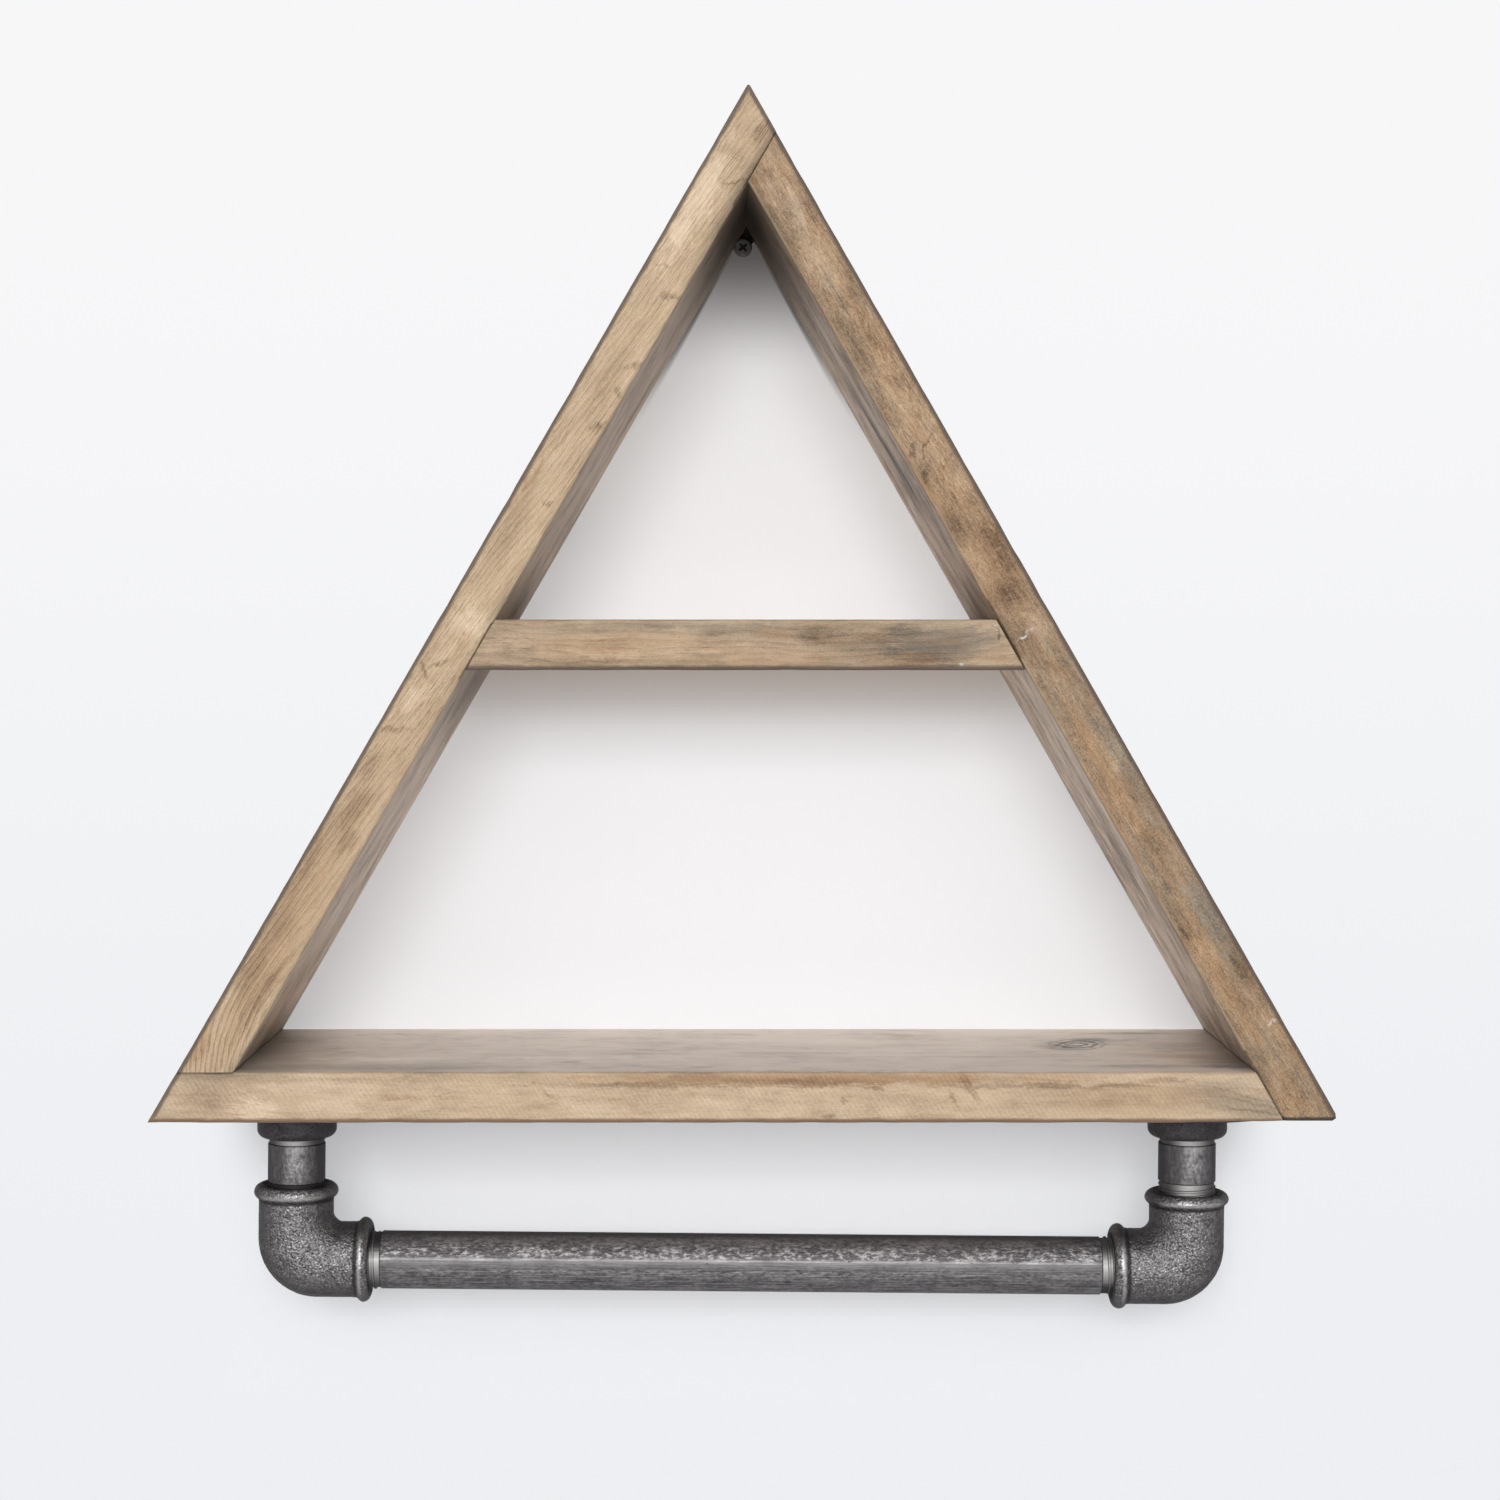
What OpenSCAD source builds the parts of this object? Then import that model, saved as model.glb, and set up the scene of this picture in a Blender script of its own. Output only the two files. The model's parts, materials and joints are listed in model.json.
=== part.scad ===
// Wall shelf: three boards pinned into a triangle, a middle shelf across it, and a
// rail of half inch pipe hung below on floor flanges, nipples and beaded elbows.
// The origin is on the axis of the wall screw, in the plane of the wall.
// +X is to the right, +Y goes into the wall and +Z is up. Sizes are in millimetres.

/* [Triangle] */
// Width of the triangle along its underside, tip to tip
frame_w = 423.6; // [420:0.2:520]
// Height of the triangle, from its underside to its apex
frame_h = 369; // [330:0.5:420]
// How far the apex stands to the right of the middle
apex_shift = 1.4; // [-4:0.1:4]
// Depth of every board, from the wall to the front
board_depth = 114; // [105:0.5:150]
// Thickness of the two sloping boards
side_t = 17.5; // [15:0.1:22]
// Thickness of the bottom board
bottom_t = 18; // [16:0.1:24]
// Radius of the eased long edges of the boards
edge_r = 1.3; // [0.6:0.1:2.4]

/* [Middle shelf] */
// Thickness of the middle shelf
shelf_t = 18; // [15:0.1:24]
// Height of the middle shelf's underside above the underside of the triangle
shelf_h = 160.6; // [100:0.2:220]
// Open joint left at the right end of the middle shelf
shelf_gap = 0.5; // [0.2:0.1:0.9]

/* [Nails] */
// Length of a nail
nail_len = 30; // [24:0.5:31]
// Diameter of a nail
nail_d = 1.6; // [1.2:0.1:2]
// Diameter of a nail's head
nail_head_d = 2.8; // [2.4:0.1:3.6]
// Height of a nail's head
nail_head_h = 1.2; // [0.8:0.1:1.6]
// How far a nail's head is sunk below the wood
nail_sink = 0.8; // [0.2:0.1:1.5]
// Nails in each corner of the triangle
corner_nails = 3; // [2:1:3]
// Nails in each end of the middle shelf
shelf_nails = 2; // [2:1:3]

/* [Pipe rail] */
// Outside diameter of the pipe
pipe_d = 21.34; // [20:0.02:22]
// Bore of the pipe
pipe_bore = 15.8; // [13:0.1:17]
// Length of the rail's pipe
rail_len = 304.8; // [180:0.2:305]
// Length of the two short upright pipes
nipple_len = 50.8; // [44:0.2:90]
// Length of the thread cut on each pipe end
thread_len = 18; // [12:0.5:20]
// Mean diameter of the thread
thread_d = 20.4; // [19:0.1:20.6]
// How far the rail screws into each elbow
rail_in_elbow = 14.2; // [10:0.1:16]
// How far the left nipple screws into its elbow
left_nipple_in_elbow = 17.3; // [14.4:0.1:17.4]
// How far the right nipple screws into its elbow
right_nipple_in_elbow = 14.4; // [13.4:0.1:17.3]
// How far the nipples screw into the flanges
nipple_in_flange = 16; // [8:0.1:20]
// Distance of the rail's axis behind the front of the boards
rail_setback = 57; // [50:0.5:64]
// How far the middle of the rail stands to the right of the middle
rail_offset = -1; // [-1:0.1:1]
// Room around each pipe end in its fitting
thread_clear = 0.3; // [0.2:0.05:0.6]

/* [Elbows] */
// From the centre of an elbow to each mouth
elbow_reach = 28.4; // [28.2:0.1:36]
// Diameter of an elbow's body
elbow_d = 27.9; // [26:0.1:29]
// Diameter over the bead at each mouth
bead_d = 31.4; // [30:0.1:36]
// Width of the bead
bead_w = 6; // [4:0.1:8]
// Radius of the outer corner of an elbow
elbow_corner_r = 22.4; // [18:0.1:24]
// Radius of the inner corner of an elbow
elbow_inner_r = 4; // [2:0.1:4.5]
// Bore of the passage inside an elbow
elbow_bore = 16.8; // [12:0.1:19]
// Width of the bevel inside each mouth
mouth_bevel = 1.5; // [0.4:0.1:1.7]

/* [Floor flanges] */
// Diameter of a flange's disc
flange_d = 88; // [80:0.5:92]
// Thickness of the disc
flange_t = 3.2; // [2.6:0.1:5]
// Thickness of the disc at its rim
flange_rim_t = 2; // [1.4:0.1:2.5]
// Width of the bevel that thins the rim
flange_bevel = 6; // [2:0.5:7]
// Diameter of the hub
hub_d = 29.5; // [28.5:0.1:36]
// Height of the flange, from its back to the end of the hub
flange_h = 14.4; // [12:0.1:20]
// Radius that rounds the end of the hub
hub_round = 3; // [1:0.1:3.4]
// Radius between the disc and the hub
hub_fillet = 2.5; // [1:0.1:4]
// Diameter of the circle that the flange's screws stand on
screw_circle = 64; // [56:0.5:66]

/* [Flange screws] */
// Length of a flange screw
flange_screw_len = 15.9; // [10:0.1:17]
// Diameter of a flange screw
flange_screw_d = 4.2; // [3.5:0.1:4.8]
// Diameter of its countersunk head
flange_screw_head_d = 8; // [7:0.1:9]
// Height of its countersunk head
flange_screw_head_h = 2.4; // [1.6:0.1:2.5]

/* [Hanger] */
// Distance of the wall screw below the inner corner of the apex
screw_drop = 8.4; // [7.5:0.1:10]
// Length of the sawtooth hanger
hanger_len = 31; // [29:0.5:33]
// Height of the hanger, from the tips of its teeth to its top
hanger_h = 11; // [9:0.1:13]
// Thickness of the hanger
hanger_t = 1.2; // [0.8:0.1:1.6]
// Width of one tooth
tooth_w = 4.4; // [4:0.1:5]
// Height of one tooth
tooth_h = 3; // [2.4:0.1:3.4]
// Teeth gaps along the hanger
tooth_gaps = 3; // [1:2:3]
// Distance between the two nails of the hanger
hanger_nail_span = 24; // [22:0.5:26]
// Length of a hanger nail
hanger_nail_len = 13; // [8:0.5:20]
// Diameter of a hanger nail
hanger_nail_d = 1.4; // [1.1:0.1:1.8]
// Diameter of its head
hanger_nail_head_d = 3.2; // [2.6:0.1:3.6]
// Height of its head
hanger_nail_head_h = 0.8; // [0.5:0.1:1.2]

/* [Wall screw] */
// Diameter of the plain shank under the head
shank_d = 2.6; // [2.2:0.1:3]
// Outside diameter of the thread in the wall
wall_thread_d = 3.5; // [3.1:0.1:4.2]
// Length of the thread in the wall, to the start of the point
wall_thread_len = 23; // [15:0.5:40]
// Length of the point
screw_point = 5; // [3:0.5:8]
// Diameter of the pan head
pan_d = 7.1; // [6.4:0.1:8]
// Height of the pan head
pan_h = 2.4; // [1.8:0.1:3]
// Turn of the cross in the head, in degrees
cross_turn = 40; // [0:1:89]

/* [Fits] */
// Room around nails, screws and the hanger in the wood
wood_clear = 0.1; // [0.05:0.05:0.3]
// Room between the hanger and the wall screw
hang_clear = 0.15; // [0.1:0.05:0.3]

/* [Hidden] */
$fn = 64;

// Cuts run this far past a face
over = 1;
// The stock of a board runs this far past its cut ends
stock_over = 12;
// The tube that rounds an elbow's inner corner lies this deep in the two legs
elbow_sink = 0.5;

// Slopes of the two sides and half the angle of the apex
left_angle = atan2(frame_h, frame_w / 2 + apex_shift);
right_angle = atan2(frame_h, frame_w / 2 - apex_shift);
apex_half = (180 - left_angle - right_angle) / 2;
apex_lean = (left_angle - right_angle) / 2;

// The inner corner of the apex, measured from the outer one
inner_step = side_t / sin(apex_half) * [sin(apex_lean), -cos(apex_lean)];

// Heights of the underside, of the bottom board's top and of the middle shelf
base_z = -(frame_h + inner_step.y - screw_drop);
floor_z = base_z + bottom_t;
shelf_low = base_z + shelf_h;
shelf_high = shelf_low + shelf_t;

// The point where two lines cross, each given by a point and its angle
function meet(p, a, q, b) =
    let (u = [cos(a), sin(a)], v = [cos(b), sin(b)])
    p + u * cross(q - p, v) / cross(u, v);
// A point part of the way from p to q
function between(p, q, share) = p + share * (q - p);

// Corners of the front view, as [x, z]
left_tip = [-frame_w / 2, base_z];
right_tip = [frame_w / 2, base_z];
apex = [apex_shift, base_z + frame_h];
inner_apex = apex + inner_step;
floor_line = [0, floor_z];
left_up = left_angle;
right_up = 180 - right_angle;
left_foot = meet(left_tip, left_up, floor_line, 0);
left_corner = meet(inner_apex, left_up, floor_line, 0);
right_corner = meet(inner_apex, right_up, floor_line, 0);
right_heel = meet(inner_apex, right_up, right_tip, 0);
apex_shoulder = meet(right_tip, right_up, inner_apex, left_up);

// Directions square to each board, pointing into the triangle
left_in = [sin(left_angle), -cos(left_angle)];
right_in = [-sin(right_angle), -cos(right_angle)];
bottom_in = [0, 1];

// Ends of the middle shelf, the right one short of its board by the open joint
shelf_left_low = meet(inner_apex, left_up, [0, shelf_low], 0);
shelf_left_high = meet(inner_apex, left_up, [0, shelf_high], 0);
shelf_right_low = meet(inner_apex, right_up, [0, shelf_low], 0);
shelf_right_high = meet(inner_apex, right_up, [0, shelf_high], 0);
shelf_short = [shelf_gap / sin(right_angle), 0];

// Nails cross a corner joint nearer its inner edge and a shelf joint above its middle
corner_share = 0.33;
shelf_share = 0.68;
nail_point = 2;

// Rail: distance between the upright pipes, its slope, and the left elbow's centre
rail_span = rail_len + 2 * (elbow_reach - rail_in_elbow);
rail_slope = asin((left_nipple_in_elbow - right_nipple_in_elbow) / rail_span);
nipple_above = nipple_in_flange - flange_h;
rail_x = rail_offset - rail_span * cos(rail_slope) / 2;
rail_y = rail_setback - board_depth;
rail_z = base_z + nipple_above - nipple_len + left_nipple_in_elbow - elbow_reach;

// Each flange stands where the middle of its hub meets the leaning pipe
hub_mid = base_z - flange_h / 2;
left_flange_x = rail_x + (hub_mid - rail_z) * tan(rail_slope);
right_elbow_z = rail_z - rail_span * sin(rail_slope);
right_flange_x = rail_x + rail_span * cos(rail_slope)
                 + (hub_mid - right_elbow_z) * tan(rail_slope);

// The board is relieved above each flange where the pipe comes through
relief_clear = 1.5;
relief_depth = max(nipple_above, 0) + relief_clear;

// Sawtooth hanger: how high the notch stands over the screw it hangs on
notch_half = atan2(tooth_w / 2, tooth_h);
notch_z = (shank_d / 2 + hang_clear) / sin(notch_half);
tips_z = notch_z - tooth_h;
hanger_back = -hanger_nail_head_h;
hanger_front = hanger_back - hanger_t;
hanger_nail_z = tips_z + (tooth_h + hanger_h) / 2;
hanger_fit = 0.3;

// Cross recess of the screws
cross_w = 1.1;
pan_cross = 3.8;
pan_cross_deep = 1.3;
flange_cross = 3.6;
flange_cross_deep = 1;

// Section of a planed board, its long edges eased
module eased_section(thick) {
    difference() {
        square([thick, board_depth]);
        for (side = [0, 1], end = [0, 1])
            translate([side * thick, end * board_depth]) mirror([side, 0]) mirror([0, end])
                difference() {
                    translate([-over, -over]) square(edge_r + over);
                    translate([edge_r, edge_r]) circle(r = edge_r);
                }
    }
}

// Planed stock that runs from a point at an angle, its thickness on the right hand
module stock(from, angle, run, thick) {
    translate([from.x, -board_depth, from.y]) rotate([0, 90 - angle, 0])
        translate([0, 0, -stock_over])
            linear_extrude(height = run + 2 * stock_over) eased_section(thick);
}

// A board: planed stock cut to its outline in the front view
module board(outline, from, angle, run, thick) {
    intersection() {
        stock(from, angle, run, thick);
        translate([0, over, 0]) rotate([90, 0, 0])
            linear_extrude(height = board_depth + 2 * over) polygon(outline);
    }
}

// Repeats its children along the depth of a joint. They are drawn from the outer
// face of the board they go through and point into the triangle.
module along_joint(crossing, drive, through, count) {
    entry = crossing - through * drive;
    for (i = [0 : count - 1])
        translate([entry.x, -board_depth * (i + 0.5) / count, entry.y])
            rotate([0, atan2(drive.x, drive.y), 0]) children();
}

module at_apex()
    along_joint(between(inner_apex, apex_shoulder, corner_share), left_in, side_t,
                corner_nails) children();
module at_left_corner()
    along_joint(between(left_corner, left_foot, corner_share), bottom_in, bottom_t,
                corner_nails) children();
module at_right_corner()
    along_joint(between(right_corner, right_heel, corner_share), right_in, side_t,
                corner_nails) children();
module at_shelf_left()
    along_joint(between(shelf_left_low, shelf_left_high, shelf_share), left_in, side_t,
                shelf_nails) children();
module at_shelf_right()
    along_joint(between(shelf_right_low, shelf_right_high, shelf_share), right_in, side_t,
                shelf_nails) children();

// A finishing nail, its head sunk below the face at zero
module nail() {
    translate([0, 0, nail_sink]) {
        cylinder(d = nail_head_d, h = nail_head_h);
        cylinder(d = nail_d, h = nail_len - nail_point);
        translate([0, 0, nail_len - nail_point])
            cylinder(d1 = nail_d, d2 = nail_d / 4, h = nail_point);
    }
}

// The hole that a nail leaves in the wood
module nail_hole() {
    translate([0, 0, -over])
        cylinder(d = nail_head_d + 2 * wood_clear,
                 h = over + nail_sink + nail_head_h + wood_clear);
    cylinder(d = nail_d + 2 * wood_clear, h = nail_sink + nail_len + wood_clear);
}

// The shallow seat of the hanger in the backs of the two sloping boards
module hanger_seat() {
    translate([-hanger_len / 2 - hanger_fit, hanger_front - wood_clear, tips_z - hanger_fit])
        cube([hanger_len + 2 * hanger_fit, over - hanger_front + wood_clear,
              hanger_h + 2 * hanger_fit]);
}

// Puts its children at the two nails of the hanger, pointing out of the wall
module at_hanger_nails() {
    for (side = [-1, 1])
        translate([side * hanger_nail_span / 2, hanger_back, hanger_nail_z])
            rotate([90, 0, 0]) children();
}

module hanger_nail_hole()
    cylinder(d = hanger_nail_d + 2 * wood_clear, h = hanger_nail_len + wood_clear);

// Puts its children on the screw circle of a flange, pointing up into the wood
module at_flange_screws(x) {
    for (turn = [45 : 90 : 315])
        translate([x, rail_y, base_z]) rotate([0, 0, turn])
            translate([screw_circle / 2, 0, -flange_t]) children();
}

module flange_pilot()
    cylinder(d = flange_screw_d + 2 * wood_clear, h = flange_screw_len + wood_clear);

// All that is drilled into the underside for the two flanges
module flange_drilling() {
    for (x = [left_flange_x, right_flange_x]) {
        at_flange_screws(x) flange_pilot();
        translate([x, rail_y, base_z - over])
            cylinder(d = pipe_d + 2 * relief_clear, h = relief_depth + over);
    }
}

module left_board() {
    color("burlywood") difference() {
        board([left_foot, left_corner, apex_shoulder, apex], left_tip, left_up,
              norm(apex - left_tip), side_t);
        at_apex() nail_hole();
        at_left_corner() nail_hole();
        at_shelf_left() nail_hole();
        hanger_seat();
        at_hanger_nails() hanger_nail_hole();
    }
}

module right_board() {
    color("peru") difference() {
        board([right_heel, right_tip, apex_shoulder, inner_apex], apex, -right_angle,
              norm(right_tip - apex), side_t);
        at_apex() nail_hole();
        at_right_corner() nail_hole();
        at_shelf_right() nail_hole();
        hanger_seat();
        at_hanger_nails() hanger_nail_hole();
        flange_drilling();
    }
}

module bottom_board() {
    color("tan") difference() {
        board([left_tip, right_heel, right_corner, left_foot], right_tip, 180, frame_w,
              bottom_t);
        at_left_corner() nail_hole();
        at_right_corner() nail_hole();
        flange_drilling();
    }
}

module middle_shelf() {
    color("rosybrown") difference() {
        board([shelf_left_low, shelf_right_low - shelf_short,
               shelf_right_high - shelf_short, shelf_left_high],
              shelf_right_low, 180, norm(shelf_right_low - shelf_left_low), shelf_t);
        at_shelf_left() nail_hole();
        at_shelf_right() nail_hole();
    }
}

module apex_nails() { color("dimgray") at_apex() nail(); }
module left_corner_nails() { color("dimgray") at_left_corner() nail(); }
module right_corner_nails() { color("dimgray") at_right_corner() nail(); }
module shelf_left_nails() { color("dimgray") at_shelf_left() nail(); }
module shelf_right_nails() { color("dimgray") at_shelf_right() nail(); }

// Strip with a row of teeth along its lower edge, one notch over the wall screw
module sawtooth_hanger() {
    teeth_half = tooth_w * tooth_gaps / 2;
    lower_edge = [for (i = [0 : tooth_gaps]) each concat(
        [[i * tooth_w - teeth_half, 0]],
        i < tooth_gaps ? [[(i + 0.5) * tooth_w - teeth_half, tooth_h]] : [])];
    color("#222222") difference() {
        translate([0, hanger_back, tips_z]) rotate([90, 0, 0])
            linear_extrude(height = hanger_t)
                polygon(concat([[-hanger_len / 2, hanger_h], [-hanger_len / 2, 0]],
                               lower_edge,
                               [[hanger_len / 2, 0], [hanger_len / 2, hanger_h]]));
        at_hanger_nails() translate([0, 0, -over])
            cylinder(d = hanger_nail_d + 2 * wood_clear, h = hanger_t + 2 * over);
    }
}

module hanger_nails() {
    color("dimgray") at_hanger_nails() {
        translate([0, 0, -hanger_nail_head_h])
            cylinder(d = hanger_nail_head_d, h = hanger_nail_head_h);
        cylinder(d = hanger_nail_d, h = hanger_nail_len - nail_point);
        translate([0, 0, hanger_nail_len - nail_point])
            cylinder(d1 = hanger_nail_d, d2 = hanger_nail_d / 4, h = nail_point);
    }
}

// The cross cut in a screw's head, down from the face at zero
module cross_recess(size, deep) {
    for (turn = [0, 90])
        rotate([0, 0, turn]) translate([-size / 2, -cross_w / 2, -deep])
            cube([size, cross_w, deep + over]);
}

// Pan head screw: head in front of the hanger, thread in the wall
module wall_screw() {
    pan_round = pan_h * 0.4;
    head_back = hanger_front - hang_clear;
    color("silver") rotate([90, 0, 0]) {
        difference() {
            translate([0, 0, -head_back]) {
                cylinder(d = pan_d, h = pan_h - pan_round);
                cylinder(d = pan_d - 2 * pan_round, h = pan_h);
                translate([0, 0, pan_h - pan_round]) rotate_extrude()
                    translate([pan_d / 2 - pan_round, 0]) circle(r = pan_round);
            }
            translate([0, 0, pan_h - head_back]) rotate([0, 0, cross_turn])
                cross_recess(pan_cross, pan_cross_deep);
        }
        cylinder(d = shank_d, h = -head_back);
        translate([0, 0, -wall_thread_len]) cylinder(d = wall_thread_d, h = wall_thread_len);
        translate([0, 0, -wall_thread_len - screw_point])
            cylinder(d1 = wall_thread_d / 8, d2 = wall_thread_d, h = screw_point);
    }
}

// Floor flange with its back at zero and its hub pointing down
module flange() {
    bore_d = pipe_d + 2 * thread_clear;
    difference() {
        mirror([0, 0, 1]) {
            cylinder(d = flange_d, h = flange_rim_t);
            translate([0, 0, flange_rim_t])
                cylinder(d1 = flange_d, d2 = flange_d - 2 * flange_bevel,
                         h = flange_t - flange_rim_t);
            cylinder(d = hub_d, h = flange_h - hub_round);
            cylinder(d = hub_d - 2 * hub_round, h = flange_h);
            translate([0, 0, flange_h - hub_round]) rotate_extrude()
                translate([hub_d / 2 - hub_round, 0]) circle(r = hub_round);
            translate([0, 0, flange_t]) rotate_extrude() translate([hub_d / 2, 0])
                difference() {
                    translate([-over, -over]) square(hub_fillet + over);
                    translate([hub_fillet, hub_fillet]) circle(r = hub_fillet);
                }
        }
        translate([0, 0, -flange_h - over])
            cylinder(d = bore_d, h = flange_h + 2 * over);
        for (turn = [45 : 90 : 315])
            rotate([0, 0, turn]) translate([screw_circle / 2, 0, -flange_t]) {
                translate([0, 0, -over])
                    cylinder(d = flange_screw_d + 4 * wood_clear, h = flange_t + 2 * over);
                cylinder(d1 = flange_screw_head_d + 2 * wood_clear,
                         d2 = flange_screw_d + 2 * wood_clear,
                         h = flange_screw_head_h + wood_clear);
            }
    }
}

// Countersunk screw with its face at zero, pointing up
module flange_screw() {
    difference() {
        union() {
            cylinder(d1 = flange_screw_head_d, d2 = flange_screw_d, h = flange_screw_head_h);
            cylinder(d = flange_screw_d, h = flange_screw_len - flange_screw_d);
            translate([0, 0, flange_screw_len - flange_screw_d])
                cylinder(d1 = flange_screw_d, d2 = flange_screw_d / 8, h = flange_screw_d);
        }
        mirror([0, 0, 1]) cross_recess(flange_cross, flange_cross_deep);
    }
}

module left_flange() {
    color("#2b2a2c") translate([left_flange_x, rail_y, base_z]) flange();
}
module right_flange() {
    color("#2b2a2c") translate([right_flange_x, rail_y, base_z]) flange();
}
module left_flange_screws() { color("#333333") at_flange_screws(left_flange_x) flange_screw(); }
module right_flange_screws() { color("#333333") at_flange_screws(right_flange_x) flange_screw(); }

// Things on the rail are drawn from the left elbow's centre and lean with the rail
module on_rail()
    translate([rail_x, rail_y, rail_z]) rotate([0, rail_slope, 0]) children();

// Pipe with both ends turned down for the thread
module pipe(length) {
    step = (pipe_d - thread_d) / 2;
    rotate_extrude() polygon([
        [pipe_bore / 2, 0], [thread_d / 2, 0], [thread_d / 2, thread_len],
        [pipe_d / 2, thread_len + step], [pipe_d / 2, length - thread_len - step],
        [thread_d / 2, length - thread_len], [thread_d / 2, length],
        [pipe_bore / 2, length]]);
}

// One leg of an elbow, from the bend to the bead at its mouth
module elbow_leg(from) {
    bead_r = bead_w / 2;
    translate([0, 0, from]) {
        cylinder(d = elbow_d, h = elbow_reach - from - bead_r);
        cylinder(d = bead_d - bead_w, h = elbow_reach - from);
    }
    translate([0, 0, elbow_reach - bead_r]) rotate_extrude()
        translate([bead_d / 2 - bead_r, 0]) circle(r = bead_r);
}

// Rounds the inner corner with a tube on a wider arc, sunk a little into both legs
module elbow_inner_corner() {
    tube_r = elbow_d / 2 - elbow_sink;
    corner = elbow_d / 2 + elbow_inner_r - elbow_sink / 4;
    translate([corner, 0, corner]) rotate([90, 0, 0])
        rotate([0, 0, 180]) rotate_extrude(angle = 90)
            translate([elbow_inner_r + tube_r, 0]) circle(r = tube_r);
}

// The room inside one leg: passage, seat of the pipe's end and bevelled mouth
module elbow_cut(pipe_in) {
    seat_d = pipe_d + 2 * thread_clear;
    cylinder(d = elbow_bore, h = elbow_reach);
    translate([0, 0, elbow_reach - pipe_in - thread_clear])
        cylinder(d = seat_d, h = pipe_in + thread_clear + over);
    translate([0, 0, elbow_reach - mouth_bevel])
        cylinder(d1 = seat_d, d2 = seat_d + 2 * mouth_bevel, h = mouth_bevel);
}

// Beaded elbow with one mouth up and one to the right
module elbow(nipple_in) {
    bend_r = elbow_corner_r - elbow_d / 2;
    difference() {
        union() {
            elbow_leg(bend_r);
            rotate([0, 90, 0]) elbow_leg(bend_r);
            elbow_inner_corner();
            translate([bend_r, 0, bend_r]) rotate([90, 0, 0])
                rotate([0, 0, 180]) rotate_extrude(angle = 90) intersection() {
                    translate([bend_r, 0]) circle(d = elbow_d);
                    translate([0, -elbow_d]) square([elbow_corner_r + over, 2 * elbow_d]);
                }
        }
        elbow_cut(nipple_in);
        rotate([0, 90, 0]) elbow_cut(rail_in_elbow);
        sphere(d = elbow_bore);
    }
}

module left_elbow() { color("#3a3739") on_rail() elbow(left_nipple_in_elbow); }
module right_elbow() {
    color("#3a3739") on_rail() translate([rail_span, 0, 0]) mirror([1, 0, 0])
        elbow(right_nipple_in_elbow);
}
module left_nipple() {
    color("#4a484b") on_rail()
        translate([0, 0, elbow_reach - left_nipple_in_elbow]) pipe(nipple_len);
}
module right_nipple() {
    color("#4a484b") on_rail()
        translate([rail_span, 0, elbow_reach - right_nipple_in_elbow]) pipe(nipple_len);
}
module rail_pipe() {
    color("#4a484b") on_rail()
        translate([elbow_reach - rail_in_elbow, 0, 0]) rotate([0, 90, 0]) pipe(rail_len);
}

left_board();
right_board();
bottom_board();
middle_shelf();
apex_nails();
left_corner_nails();
right_corner_nails();
shelf_left_nails();
shelf_right_nails();
sawtooth_hanger();
hanger_nails();
wall_screw();
left_flange();
right_flange();
left_flange_screws();
right_flange_screws();
left_nipple();
right_nipple();
left_elbow();
right_elbow();
rail_pipe();
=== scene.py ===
"""Looks of a triangular wall shelf with a pipe towel rail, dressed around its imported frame."""

import json
import math

import bpy
from mathutils import Matrix, Vector, noise


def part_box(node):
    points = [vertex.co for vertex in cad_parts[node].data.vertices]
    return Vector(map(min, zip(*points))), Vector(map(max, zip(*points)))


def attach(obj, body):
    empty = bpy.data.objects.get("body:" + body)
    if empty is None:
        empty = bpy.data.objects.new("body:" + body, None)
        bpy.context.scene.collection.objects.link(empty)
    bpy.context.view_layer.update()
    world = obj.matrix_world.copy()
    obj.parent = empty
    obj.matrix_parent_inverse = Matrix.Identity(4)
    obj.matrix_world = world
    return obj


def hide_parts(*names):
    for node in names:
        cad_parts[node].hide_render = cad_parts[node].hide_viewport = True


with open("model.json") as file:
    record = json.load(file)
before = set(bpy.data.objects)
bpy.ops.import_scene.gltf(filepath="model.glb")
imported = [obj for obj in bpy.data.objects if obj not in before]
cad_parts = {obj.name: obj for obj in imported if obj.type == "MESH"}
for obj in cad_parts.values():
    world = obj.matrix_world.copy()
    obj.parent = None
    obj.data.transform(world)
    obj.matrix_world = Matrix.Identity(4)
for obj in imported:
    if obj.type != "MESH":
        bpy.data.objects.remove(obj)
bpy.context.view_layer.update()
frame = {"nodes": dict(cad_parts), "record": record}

MM = 0.001

# Camera: side of the picture and focal length in pixels, the pixel that it looks straight at, the
# side of the sensor in mm and the place of the eye
PICTURE_SIDE = 1500
FOCAL = 2868.7
AIM_PIXEL = (730, 636)
SENSOR = 36
EYE = (-5.09 * MM, -1131 * MM, -152.7 * MM)

# Wall and floor: gap behind the boards, side, drop of the floor, and how near the wall is clear
WALL_GAP = 0.2 * MM
WALL_SIDE = 12
FLOOR_DROP = 1.6
NEAR_WALL = 2.2 * MM
FLOOR_SHADE = 0.6
# The wall is painted a little darker low down, painted shade for the falling off of the light: colours
# high up and low, and the heights between, in mm
WALL_WHITE = (0.93, 0.93, 0.94)
WALL_LOW = (0.85, 0.86, 0.885)
WALL_FADE = (60, -470)

# Lamps: place, width and height, power and the point each is aimed at, and the world's light
LAMP_AIM = (0, 0, -0.15)
LAMPS = {
    "key": ((-0.2, -5.0, 1.0), (1.95, 1.25), 136, LAMP_AIM),
    "fill": ((-0.2, -5.2, 1.35), (7.8, 4.8), 123, LAMP_AIM),
    "rear": ((0.6, 4.0, 1.6), (3.0, 3.0), 110, LAMP_AIM),
}
WORLD_LEVEL = 0.15

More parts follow.
